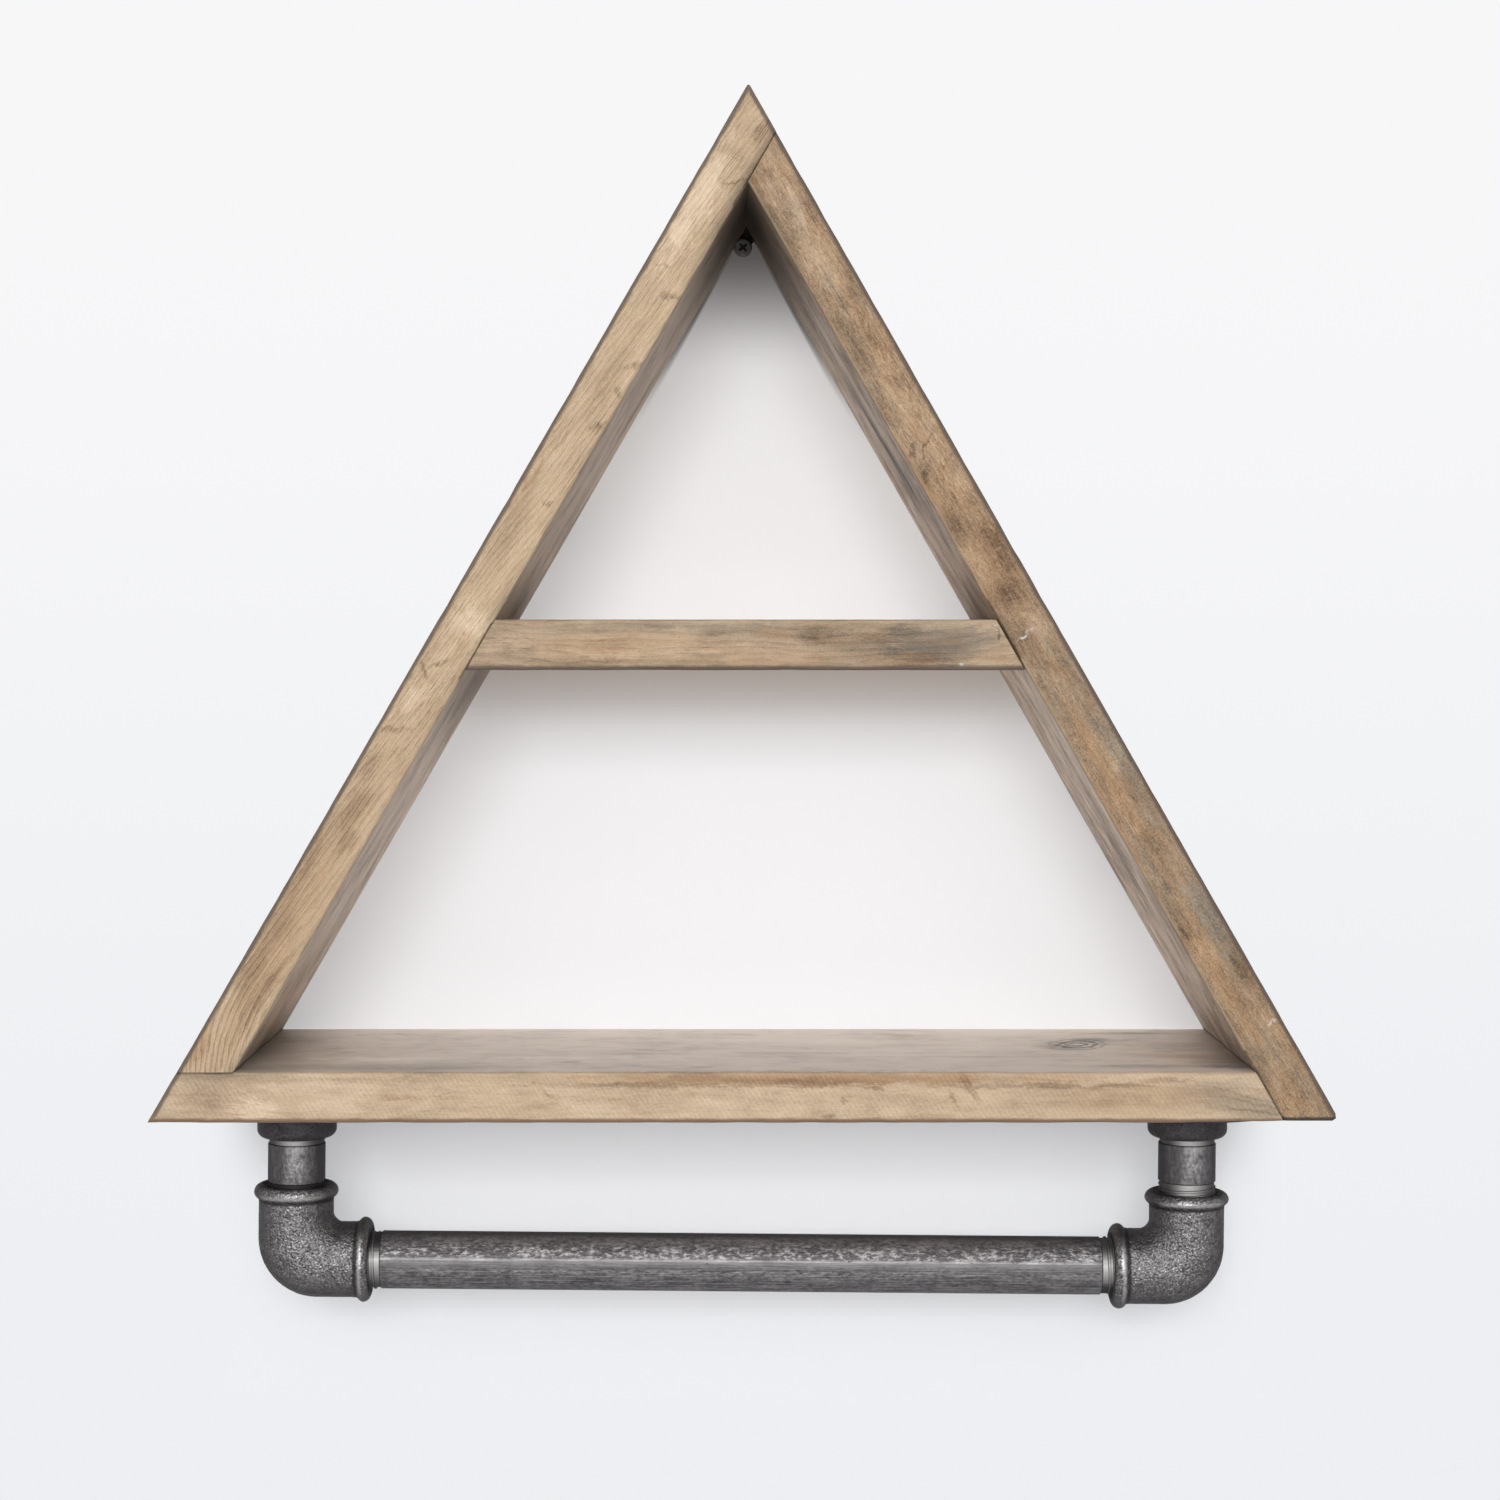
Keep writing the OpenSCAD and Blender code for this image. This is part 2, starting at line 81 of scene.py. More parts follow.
# Noise: distance between the places of two seeds, its shares along the axes, and the middle and
# the gain that bring the values to about -1 to 1
SEED_STEP = 371.3
SEED_SHARES = (1, 3, 7)
NOISE_MIDDLE = 0.5
NOISE_GAIN = 4

# Sockets of a Mix node that holds colours
MIX_BELOW = 6
MIX_ABOVE = 7
MIX_RESULT = 2


class Value:
    """One output of a material's nodes. Arithmetic on it adds Math nodes."""

    def __init__(self, finish, socket):
        self.finish = finish
        self.socket = socket

    def output(self, name):
        """Another output of the same node."""
        return Value(self.finish, self.socket.node.outputs[name])

    def math(self, operation, *others, first=None):
        values = (self,) + others if first is None else (first, self)
        return self.finish.node("ShaderNodeMath", {"operation": operation}, dict(enumerate(values)))

    def __add__(self, other):
        return self.math("ADD", other)

    def __sub__(self, other):
        return self.math("SUBTRACT", other)

    def __mul__(self, other):
        return self.math("MULTIPLY", other)

    def __radd__(self, other):
        return self.math("ADD", first=other)

    def __rsub__(self, other):
        return self.math("SUBTRACT", first=other)

    def __rmul__(self, other):
        return self.math("MULTIPLY", first=other)

    def __abs__(self):
        return self.math("ABSOLUTE")

    def most(self, other):
        """The higher of two values."""
        return self.math("MAXIMUM", other)

    def clamp(self):
        return self.math("MINIMUM", 1).most(0)

    def ramp(self, low, high):
        """0 at low and 1 at high, with a smooth change between them."""
        settings = {"interpolation_type": "SMOOTHSTEP"}
        inputs = {"Value": self, "From Min": min(low, high), "From Max": max(low, high)}
        inputs["To Min"], inputs["To Max"] = (0, 1) if low < high else (1, 0)
        return self.finish.node("ShaderNodeMapRange", settings, inputs)


class Finish:
    """A material, or the world, that is being built. One method adds every node."""

    def __init__(self, name, tree=None):
        if tree is None:
            self.material = bpy.data.materials.new(name)
            self.material.use_nodes = True
            tree = self.material.node_tree
        self.tree = tree
        self.tree.nodes.clear()

    def node(self, kind, settings=None, inputs=None, output=0):
        node = self.tree.nodes.new(kind)
        for name, value in (settings or {}).items():
            if name == "stops":
                set_stops(node.color_ramp, value)
            else:
                setattr(node, name, value)
        for key, value in (inputs or {}).items():
            if isinstance(value, Value):
                self.tree.links.new(value.socket, node.inputs[key])
            else:
                node.inputs[key].default_value = value
        return Value(self, node.outputs[output]) if node.outputs else None

    def mix(self, factor, below, above):
        """A colour that runs from below to above as factor runs from 0 to 1."""
        inputs = {0: factor, MIX_BELOW: colour(below), MIX_ABOVE: colour(above)}
        return self.node("ShaderNodeMix", {"data_type": "RGBA"}, inputs, MIX_RESULT)

    def blend(self, factor, below, above):
        """A shader that runs from below to above as factor runs from 0 to 1."""
        return self.node("ShaderNodeMixShader", {}, {0: factor, 1: below, 2: above})

    def shades(self, tone, stops):
        """Colours of a ramp, picked by tone."""
        return self.node("ShaderNodeValToRGB", {"stops": stops}, {"Fac": tone})

    def cell(self, point, centre, sizes, turn=(0, 0, 0)):
        """The point measured from a centre, in units of the given sizes."""
        inputs = {"Vector": point, "Location": centre, "Rotation": turn, "Scale": sizes}
        return self.node("ShaderNodeMapping", {"vector_type": "TEXTURE"}, inputs)

    def place(self, turn=0, corner=(0, 0, 0)):
        """Point on the piece in mm, from a corner, along axes turned about Y."""
        point = self.node("ShaderNodeTexCoord", output="Object")
        return self.cell(point, corner, (MM,) * 3, (0, turn, 0))

    def noise(self, point, sizes, seed, detail, roughness=0.5, turn=0):
        """Cloudy values round 0, mostly within -1 and 1. The sizes are those of a cloud."""
        centre = tuple(seed * SEED_STEP / share for share in SEED_SHARES)
        inputs = {"Vector": self.cell(point, centre, sizes, (0, turn, 0)), "Scale": 1}
        inputs.update({"Detail": detail, "Roughness": roughness})
        return (self.node("ShaderNodeTexNoise", {}, inputs) - NOISE_MIDDLE) * NOISE_GAIN

    def radius(self, *amounts):
        """Distance from the origin of the point with these three coordinates."""
        point = self.combine(*amounts)
        return self.length(point)

    def length(self, point):
        return self.node("ShaderNodeVectorMath", {"operation": "LENGTH"}, {0: point}, "Value")

    def axes(self, point):
        """The three coordinates of a point."""
        across = self.node("ShaderNodeSeparateXYZ", {}, {"Vector": point})
        return across, across.output("Y"), across.output("Z")

    def combine(self, *amounts):
        return self.node("ShaderNodeCombineXYZ", {}, dict(enumerate(amounts)))

    def push(self, point, *amounts):
        """The point moved by amounts along its three axes."""
        step = self.combine(*amounts)
        return self.node("ShaderNodeVectorMath", {"operation": "ADD"}, {0: point, 1: step})

    def seen(self):
        """1 for what looks at the surface: the camera, and what a gloss or a clear thing shows."""
        rays = self.node("ShaderNodeLightPath")
        return (rays.output("Is Glossy Ray") + rays.output("Is Transmission Ray") + rays).clamp()

    def surface(self, shade, roughness, relief, depth, more):
        """Closes the material with a glossy shader. Depth is the height of the relief in mm."""
        bump = self.node("ShaderNodeBump", {}, {"Distance": depth * MM, "Height": relief})
        inputs = {"Base Color": shade, "Roughness": roughness.clamp(), "Normal": bump}
        inputs.update(more)
        return self.close(self.node("ShaderNodeBsdfPrincipled", {}, inputs))

    def close(self, shader):
        self.node("ShaderNodeOutputMaterial", {}, {"Surface": shader})
        return self.material


def set_stops(ramp, stops):
    """Gives a colour ramp its stops, each a place and a colour."""
    while len(ramp.elements) < len(stops):
        ramp.elements.new(1)
    for element, (place, shade) in zip(ramp.elements, stops):
        element.position = place
        element.color = colour(shade)


def colour(shade):
    """A colour with its alpha, from a grey or a triple. A socket stays as it is."""
    if isinstance(shade, Value):
        return shade
    if isinstance(shade, (int, float)):
        shade = (shade,) * 3
    return tuple(shade) + (1,)


def weigh(values, weights, base=0):
    """A base and the sum of values, each times its weight."""
    for value, weight in zip(values, weights):
        base = value * weight + base
    return base


def make_camera():
    data = bpy.data.cameras.new("camera")
    data.sensor_width = SENSOR
    data.lens = SENSOR * FOCAL / PICTURE_SIDE
    data.shift_x = 0.5 - AIM_PIXEL[0] / PICTURE_SIDE
    data.shift_y = AIM_PIXEL[1] / PICTURE_SIDE - 0.5
    camera = bpy.data.objects.new("camera", data)
    camera.location = EYE
    camera.rotation_euler = (math.pi / 2, 0, 0)
    bpy.context.collection.objects.link(camera)
    bpy.context.scene.camera = camera


def make_lamp(name, place, sides, watts, aim):
    data = bpy.data.lights.new(name, "AREA")
    data.shape = "RECTANGLE"
    data.size, data.size_y = sides
    data.energy = watts
    lamp = bpy.data.objects.new(name, data)
    lamp.location = place
    lamp.rotation_euler = (Vector(aim) - Vector(place)).to_track_quat("-Z", "Y").to_euler()
    bpy.context.collection.objects.link(lamp)


def make_world():
    """White to the camera and in every gloss, and a low even light on the rest."""
    world = bpy.data.worlds.new("studio")
    bpy.context.scene.world = world
    world.use_nodes = True
    finish = Finish("studio", world.node_tree)
    shown = finish.node("ShaderNodeBackground", {}, {"Color": colour(WALL_WHITE)})
    light = finish.node("ShaderNodeBackground", {}, {"Color": colour(1), "Strength": WORLD_LEVEL})
    both = finish.blend(finish.seen(), light, shown)
    finish.node("ShaderNodeOutputWorld", {}, {"Surface": both})


# Boards: thickness of the sloping boards and of the level ones, in mm
SIDE_T = 17.5
LEVEL_T = 18

left_low, left_high = (Vector(corner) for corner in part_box("left_board"))
right_low, right_high = (Vector(corner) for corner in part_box("right_board"))
bottom_low = Vector(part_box("bottom_board")[0])
shelf_low = Vector(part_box("middle_shelf")[0])
left_angle = math.atan2(left_low.z - bottom_low.z, left_low.x - bottom_low.x)
apex_x = bottom_low.x + (left_high.z - bottom_low.z) / math.tan(left_angle)
apex = Vector((apex_x, left_low.y, left_high.z))
right_tip = Vector((right_high.x, right_low.y, right_low.z))
right_angle = math.atan2(apex.z - right_tip.z, right_tip.x - apex.x)

# Turn about Y and corner from which each board is measured, and its thickness. It is measured
# along its length, in depth from the room's side, and through from its outer face inwards
BOARDS = {
    "left_board": (-left_angle - math.pi, apex, SIDE_T),
    "right_board": (right_angle - math.pi, right_tip, SIDE_T),
    "bottom_board": (0, bottom_low, LEVEL_T),
    "middle_shelf": (0, shelf_low, LEVEL_T),
}
TRIANGLE = ("left_board", "right_board", "bottom_board")


def from_outer_face(finish, names):
    """Distance in from the outer faces of the named boards, whichever is nearest."""
    gaps = [finish.axes(finish.place(*BOARDS[name][:2]))[2] for name in names]
    nearest = gaps[0]
    for gap in gaps[1:]:
        nearest = nearest.math("MINIMUM", gap)
    return nearest


# Where the wall's shading ends, in mm: round the boards, beside and under the rail, and the band
# between the two
BOARD_SHADE = (-4, 3)
RAIL_REACH = 205
RAIL_SHADE = (-35, 10)
UNDER_RAIL = (-400, -470)
BASE_BAND = (-322, -334)
# Share of its own colour that the camera sees inside the shelf, and all of it outside. Inside the shelf
# this even glow is painted light that lifts the wall's shading
INSIDE_EVEN = 0.33
# Painted shade under the apex: its heights, amount and colour, and painted shade in dark lines beside the
# boards, by their distance from the boards and their heights
APEX_PAINTED_SHADE = (-50, 5)
PAINTED_SHADE_AMOUNT = 0.93
APEX_SHADOW_COLOUR = (0.12, 0.105, 0.10)
CREVICE_SHADE = (2.6, 0.3)
CREVICE_SHADE_UP = (-78, -22)
# Painted shade under the middle shelf: heights, top, amount and colour
SHELF_PAINTED_SHADE = (-193, -162)
SHELF_PAINTED_SHADE_TOP = -156
SHELF_PAINTED_SHADE_AMOUNT = 0.5
SHELF_SHADOW_COLOUR = (0.40, 0.27, 0.18)


def wall_finish():
    """Matt white from the room's side. The camera sees it even round the outside of the shelf,
    and shaded inside it, where an even glow is painted light that lifts the shading, and painted
    shade darkens it under the apex, beside the boards and under the middle shelf. It lets through
    what looks at it from behind, and the light of what lies right on it."""
    finish = Finish("wall_paint")
    across, _, up = finish.axes(finish.place())
    beside = from_outer_face(finish, TRIANGLE[:2])
    off_boards = (0 - beside).ramp(*BOARD_SHADE)
    off_rail = (abs(across) - RAIL_REACH).ramp(*RAIL_SHADE).most(up.ramp(*UNDER_RAIL))
    below = up.ramp(*BASE_BAND)
    outside = off_boards * (1 - below) + off_rail * below
    # Painted shade: under the apex, in dark lines beside the boards and under the middle shelf
    crevice_shade = (beside - SIDE_T).ramp(*CREVICE_SHADE) * up.ramp(*CREVICE_SHADE_UP)
    gloom = up.ramp(*APEX_PAINTED_SHADE).most(crevice_shade) * PAINTED_SHADE_AMOUNT
    shelf_shadow = up.ramp(*SHELF_PAINTED_SHADE) * up.math("LESS_THAN", SHELF_PAINTED_SHADE_TOP) * SHELF_PAINTED_SHADE_AMOUNT
    shade = finish.mix(up.ramp(*WALL_FADE), WALL_WHITE, WALL_LOW)
    shade = finish.mix(gloom * (1 - outside), shade, APEX_SHADOW_COLOUR)
    shade = finish.mix(shelf_shadow * (1 - outside), shade, SHELF_SHADOW_COLOUR)
    paint = finish.node("ShaderNodeBsdfDiffuse", {}, {"Color": shade})
    even = finish.node("ShaderNodeEmission", {}, {"Color": shade})
    lit = finish.blend(outside.most(INSIDE_EVEN) * finish.seen(), paint, even)
    clear = finish.node("ShaderNodeBsdfTransparent")
    behind = finish.node("ShaderNodeNewGeometry", output="Backfacing")
    distance = finish.node("ShaderNodeLightPath", output="Ray Length")
    return finish.close(finish.blend(behind.most(distance.math("LESS_THAN", NEAR_WALL)), lit, clear))


def make_stage():
    """A wall right behind the shelf and a floor below it."""
    bpy.ops.mesh.primitive_plane_add(size=WALL_SIDE)
    wall = bpy.context.object
    wall.name = "wall"
    upright = Matrix.Rotation(math.pi / 2, 4, "X")
    wall.data.transform(Matrix.Translation((0, WALL_GAP, 0)) @ upright)
    wall.data.materials.append(wall_finish())
    bpy.ops.mesh.primitive_plane_add(size=WALL_SIDE, location=(0, -WALL_SIDE / 2, -FLOOR_DROP))
    floor = bpy.context.object
    floor.name = "floor"
    finish = Finish("floor_paint")
    paint = finish.node("ShaderNodeBsdfDiffuse", {}, {"Color": colour(FLOOR_SHADE)})
    floor.data.materials.append(finish.close(paint))


# Looks of the boards, with three shades, dark to light, of the front edge and of the broad faces.
# Tilt is the turn of the grain in degrees, ring the width of a growth ring in mm and pith the centre
# of the rings. Lines, fibre, mottle, cloud, fine and speck are strengths in the tone, and grey and
# warm the amounts of two stains. Comb is the height of the plane's ridges, saw the turn, pitch and
# height of saw marks, and bend where the grain bends and how fast. Coat is the gloss of the faces,
# foot the strength of the rings at the foot, and calm what the faces lack of the tone's contrast.
# Seams are the stretches of the inner arris where another board joins. Marks are sorted by kind;
# those that darken the inner faces at the corners where boards meet are painted shade.
# Each gives its centre and its half sizes in mm, its turn in degrees and its strength. Marks of the
# edge lie along and through the board, and marks of the face lie along and in depth on its inner face
TAN = ((0.21, 0.135, 0.08), (0.535, 0.392, 0.257), (0.80, 0.63, 0.455))
BROWN = ((0.10, 0.065, 0.04), (0.335, 0.225, 0.139), (0.58, 0.42, 0.28))
MIXED = ((0.12, 0.085, 0.056), (0.435, 0.317, 0.212), (0.68, 0.53, 0.385))
SAWN = ((0.22, 0.145, 0.09), (0.56, 0.422, 0.288), (0.83, 0.66, 0.49))
# The broad faces are lighter than the front edges, partly painted light for the room light that the inner
# faces lack. PALE_FACE, the bottom board's, is lighter and greyer still, partly a painted sheen on its top
FACE = ((0.22, 0.17, 0.13), (0.68, 0.55, 0.445), (0.88, 0.76, 0.64))
PALE_FACE = ((0.28, 0.235, 0.195), (0.76, 0.65, 0.555), (0.92, 0.83, 0.74))
GREY = ((0.08, 0.07, 0.055), (0.21, 0.175, 0.135), (0.40, 0.35, 0.28))
WARM = ((0.17, 0.09, 0.045), (0.39, 0.235, 0.125), (0.60, 0.41, 0.245))
LOOKS = {
    "left_board": {
        "edge": TAN, "face": FACE, "tilt": 5, "ring": 1.2, "pith": (150, -60, 60), "lines": 0.10,
        "fibre": 0.05, "mottle": 0.09, "cloud": 0.12, "grey": -0.45, "warm": -0.3,
        "fine": 0.085, "speck": 0.065, "comb": 0.055, "saw": (0, 1, 0), "bend": (362, 0.0085),
        "coat": 0.25, "foot": 0.1, "calm": -0.35,
        "edge_marks": {
            "dark": [((12, 13), (7, 3), 20, 0.5), ((26, 8), (5, 6), 60, 0.3), ((33, 14), (7, 0.9), 50, 0.55),
                ((70, 7), (4, 0.8), 70, 0.4), ((79, 14.5), (5, 1.2), 60, 0.6),
                ((109, 14), (6, 1.2), 55, 0.5), ((118, 14.5), (4, 1), -40, 0.5),
                ((133, 14.5), (4, 1.2), 40, 0.5), ((120, 10), (22, 4), 0, 0.3),
                ((165, 13), (3, 1), 60, 0.45), ((178, 6), (16, 5), 0, 0.25), ((234, 8), (4, 1.2), 50, 0.6),
                ((238, 5), (5, 1.4), -50, 0.6), ((262, 6), (9, 1), 50, 0.45), ((292, 9), (12, 6), 0, 0.4),
                ((303, 12), (8, 4), 0, 0.5), ((277, 6), (7, 4), 0, 0.35), ((345, 5), (16, 4), 0, 0.35),
                ((330, 3), (40, 3), 0, 0.35), ((368, 12), (14, 3), 0, 0.35), ((362, 5), (16, 4), 0, 0.5)],
            "pale": [((45, 5), (27, 6.5), -4, 0.55), ((214, 9), (7, 7), 60, 0.35),
                ((248, 8), (6, 4), 30, 0.35)],
            "warm": [((340, 9), (60, 8), 0, 0.45), ((393, 3), (8, 4), 0, 0.6)],
        },
        "seams": ((0, 41), (212, 235)),
        "face_marks": {
            "gloom": [((34, 60), (60, 130), 0, 1), ((205, 57), (24, 120), 0, 0.5),
                ((236, 70), (34, 90), 0, 0.75), ((400, 57), (26, 110), 0, 0.8)],
            "warm": [((375, 50), (30, 40), 0, 0.5)],
            "dark": [((100, 90), (60, 12), 0, 0.3)],
        },
    },
    "right_board": {
        "edge": BROWN, "face": FACE, "tilt": -2, "ring": 2.2, "pith": (150, -30, 45), "lines": 0.06,
        "fibre": 0.06, "mottle": 0.17, "cloud": 0.14, "grey": -0.1, "warm": 0.15,
        "fine": 0.13, "speck": 0.14, "comb": 0.02, "saw": (0, 1, 0), "bend": (500, 0), "coat": 0.25,
        "foot": 0, "calm": -0.45,
        "edge_marks": {
            "grey": [((32, 12), (12, 6), 0, 0.75), ((85, 4), (24, 5), 0, 0.8), ((110, 14), (28, 3), 0, 0.5),
                ((160, 4), (40, 4), 0, 0.6), ((180, 12), (16, 6), 0, 0.5), ((315, 14), (26, 3), 0, 0.4)],
            "warm": [((24, 12), (20, 6), 0, 0.5), ((150, 11), (45, 3), 0, 0.7),
                ((70, 12), (30, 3.5), 0, 0.65), ((240, 8), (30, 8), 0, 0.55), ((320, 7), (36, 3), 0, 0.5)],
            "dark": [((64, 4), (8, 3), 0, 0.45), ((118, 8), (9, 5), 0, 0.25), ((86, 15), (3, 1.4), 0, 0.6),
                ((222, 9), (8, 7), 0, 0.6), ((231, 6), (7, 5), 0, 0.5), ((252, 14), (8, 3.5), 0, 0.45),
                ((243, 5), (8, 5), 0, 0.45), ((273, 14.5), (5, 2), 30, 0.6), ((281, 9), (7, 0.9), 60, 0.65),
                ((284, 13.5), (3.5, 1.2), 40, 0.8)],
            "pale": [((290, 4), (8, 4), 40, 0.35), ((358, 9), (36, 6), 0, 0.3), ((296, 9), (36, 6), 0, 0.3)],
            "scuff": [((204.5, 13), (2.2, 0.5), 75, 0.8), ((43, 4), (2.2, 0.6), 70, 0.6),
                ((205.5, 9.5), (2.5, 0.35), 80, 0.5)],
        },
        "seams": ((0, 40), (200, 224), (396, 420)),
        "face_marks": {
            "black": [((303, 58), (14, 2.6), -14, 0.9), ((287, 52), (8, 5), 5, 1),
                ((275, 47), (9, 4), 8, 0.95), ((318, 62), (8, 1.6), 0, 0.6)],
            "dark": [((286, 50), (36, 13), -6, 0.75), ((262, 30), (12, 8), 30, 0.4),
                ((120, 52), (70, 7), 0, 0.35)],
            "gloom": [((390, 70), (66, 130), 0, 1), ((214, 57), (24, 120), 0, 0.45),
                ((34, 57), (22, 110), 0, 0.4)],
            "warm": [((110, 75), (60, 8), 0, 0.35)],
        },
    },
    "bottom_board": {
        "edge": SAWN, "face": PALE_FACE, "tilt": 0.6, "ring": 5, "pith": (200, 50, -46), "lines": 0.05,
        "fibre": 0.04, "mottle": 0.10, "cloud": 0.13, "grey": -0.55, "warm": -0.25,
        "fine": 0.05, "speck": 0.055, "comb": 0, "saw": (57, 1.6, 0.04), "bend": (500, 0), "coat": 0.5,
        "foot": 0, "calm": 0.35,
        "edge_marks": {
            "line": [((38.6, 6.2), (8.6, 0.45), 27, 0.4), ((36, 10.4), (7, 0.4), 27, 0.2)],
            "pale": [((38, 4), (8, 3.4), 0, 0.4)],
            "dark": [((22, 8), (8, 9), 40, 0.25), ((168, 13.4), (42, 1.3), 0, 0.45),
                ((142, 11), (5, 1.2), 40, 0.4), ((230, 14.6), (40, 1.6), 0, 0.45),
                ((257, 12.3), (4, 1), 0, 0.7), ((292, 12), (6, 1.6), 60, 0.5), ((286, 9), (4, 1.2), 60, 0.5),
                ((322, 13.4), (14, 1.6), 0, 0.6), ((343, 13.2), (14, 1.7), 0, 0.55),
                ((363, 15), (10, 1.6), 0, 0.5), ((247, 8), (2, 0.8), 50, 0.5),
                ((242, 2.6), (3, 0.9), 0, 0.5), ((205, 13.2), (72, 0.6), 0, 0.3),
                ((305, 13.2), (45, 0.7), 0, 0.35), ((392, 4.4), (18, 0.5), 8, 0.3),
                ((390, 7.4), (18, 0.5), 11, 0.3), ((386, 10.4), (18, 0.5), 14, 0.28),
                ((60, 15), (30, 1.6), 0, 0.3)],
            "warm": [((232, 15.8), (108, 2.8), 0, 0.75), ((350, 8), (30, 8), 0, 0.35)],
            "grey": [((390, 6), (22, 5), 12, 0.5), ((380, 12), (12, 5), 0, 0.4)],
        },
        "seams": ((0, 31),),
        "face_marks": {
            "knot": [((338, 70), (9, 13), -20, 0.95)],
            "dark": [((331, 62), (12, 8), -25, 0.6), ((345, 82), (8, 6), 0, 0.6),
                ((360, 100), (22, 4), 0, 0.55), ((392, 30), (24, 30), 0, 0.6), ((352, 14), (26, 7), 4, 0.55),
                ((385, 60), (24, 20), 30, 0.4), ((60, 12), (60, 10), 0, 0.35), ((180, 45), (30, 2), 0, 0.35),
                ((250, 48), (70, 2.4), 0, 0.3), ((300, 38), (50, 2), 0, 0.3)],
            "pale": [((76, 33), (24, 4.5), 0, 0.6), ((142, 36), (26, 4), 0, 0.55)],
            "black": [((385, 14), (12, 4), 0, 0.5)],
            "gloom": [((20, 57), (44, 110), 0, 0.8), ((404, 57), (26, 100), 0, 0.6)],
            "warm": [((370, 40), (24, 8), -10, 0.5)],
        },
    },
    "middle_shelf": {
        "edge": MIXED, "face": FACE, "tilt": -1, "ring": 1.8, "pith": (100, -50, -30), "lines": 0.08,
        "fibre": 0.05, "mottle": 0.09, "cloud": 0.18, "grey": -0.3, "warm": -0.05,
        "fine": 0.05, "speck": 0.06, "comb": 0.02, "saw": (0, 1, 0), "bend": (500, 0), "coat": 0.25,
        "foot": 0, "calm": 0,
        "edge_marks": {
            "dark": [((126, 12), (13, 5), 0, 0.5), ((140, 8), (18, 7), 0, 0.45), ((163, 4), (12, 3), 0, 0.3),
                ((155, 14), (9, 3), 0, 0.3), ((88, 13), (6, 1.4), 0, 0.4), ((35, 3), (25, 2), 0, 0.4),
                ((104, 10), (16, 7), 0, 0.3), ((132, 9), (16, 8), 0, 0.3)],
            "grey": [((166, 10), (24, 9), 0, 0.85), ((75, 15), (60, 2.5), 0, 0.5)],
            "black": [((188.9, 12.8), (5.8, 0.32), 57.7, 0.55)],
            "pale": [((50, 5), (14, 1), 0, 0.4), ((70, 7), (20, 2.4), 0, 0.4), ((30, 11), (20, 6), 0, 0.35),
                ((66, 10), (26, 6), 0, 0.25)],
            "warm": [((55, 9), (35, 6), 0, 0.5), ((105, 4), (30, 4), 0, 0.4)],
            "scuff": [((175, 1.8), (1, 0.8), 0, 0.8)],
        },
        "seams": (),
        "face_marks": {},
    },
}
# The last of these colours, for the broad dark marks in the corners of the inner faces, is painted shade
MARK_SHADES = {"black": (0.014, 0.013, 0.012), "scuff": (0.70, 0.69, 0.67),
               "knot": (0.09, 0.07, 0.055), "gloom": (0.06, 0.045, 0.033)}
# Soft rims of the marks that the grain leaves whole, in their half sizes, and smooth marks
MARK_RIMS = {"knot": (1.4, 0.8), "gloom": (1.1, 0), "scuff": (1.2, 0.3), "line": (1.2, 0.3)}
SMOOTH_MARKS = ("gloom", "line")
# Half depth of a mark: on the edge measured from the room's side, and on an inner face in from it
EDGE_MARK_DEPTH = 7
FACE_MARK_DEPTH = 5
# Noise in the wood: sizes of a cloud along the board, in depth and through it in mm, seed,
# detail and roughness. In the wood's formulas, ranges are in mm and the other numbers weights
WOOD_NOISE = {
    "wander": ((7, 4, 4), 9, 4, 0.65),
    "sway": ((5, 3, 3), 10, 4, 0.65),
    "drift": ((70, 26, 26), 1, 2),
    "wave": ((30, 5, 5), 2, 2),
    "fibre": ((16, 0.55, 0.55), 3, 3),
    "fine": ((3.2, 0.33, 0.33), 4, 2),
    "speck": ((0.6, 0.55, 0.55), 13, 1),
    "mottle": ((10, 8, 5), 5, 5, 0.62),
    "cloud": ((42, 24, 9), 6, 3),
    "grey": ((22, 16, 5), 7, 4, 0.6),
    "warm": ((26, 16, 5), 14, 4, 0.6),
}
RING_LENGTH = 1e5
# Ridges of the plane and of the saw: the plane's pitch in mm, and the sway, unevenness and level
COMB_PITCH = 0.95
COMB = (0.12, 0.5, 0.8)
SAW = (0.16, 0.7, 0.7)
# The foot of a board, where its rings show more, along its length in mm
FOOT = (348, 384)
# Painted shade on the outer arrises, a painted highlight on the inner ones and black lines where boards
# meet, as ranges in mm
OUTER_ARRIS = (2.2, 1.0)
INNER_ARRIS = (1.3, 0.3)
SEAM = (0.9, 0.2)
CONTACT = (1.3, 0.5)
UNDERSIDE = (1.7, 0.9)
ARRIS_SHADOW = (0.11, 0.085, 0.07)
ARRIS_WARM_SHADOW = (0.17, 0.105, 0.065)
ARRIS_HIGHLIGHT = (0.62, 0.48, 0.34)
SEAM_DARK = (0.045, 0.035, 0.028)
STEEP = (0.12, 0.5, 0.88)
WOOD_ROUGH = 0.6
WOOD_SHINE = 0.2
COAT_ROUGH = 0.45
WOOD_DEPTH = 0.12


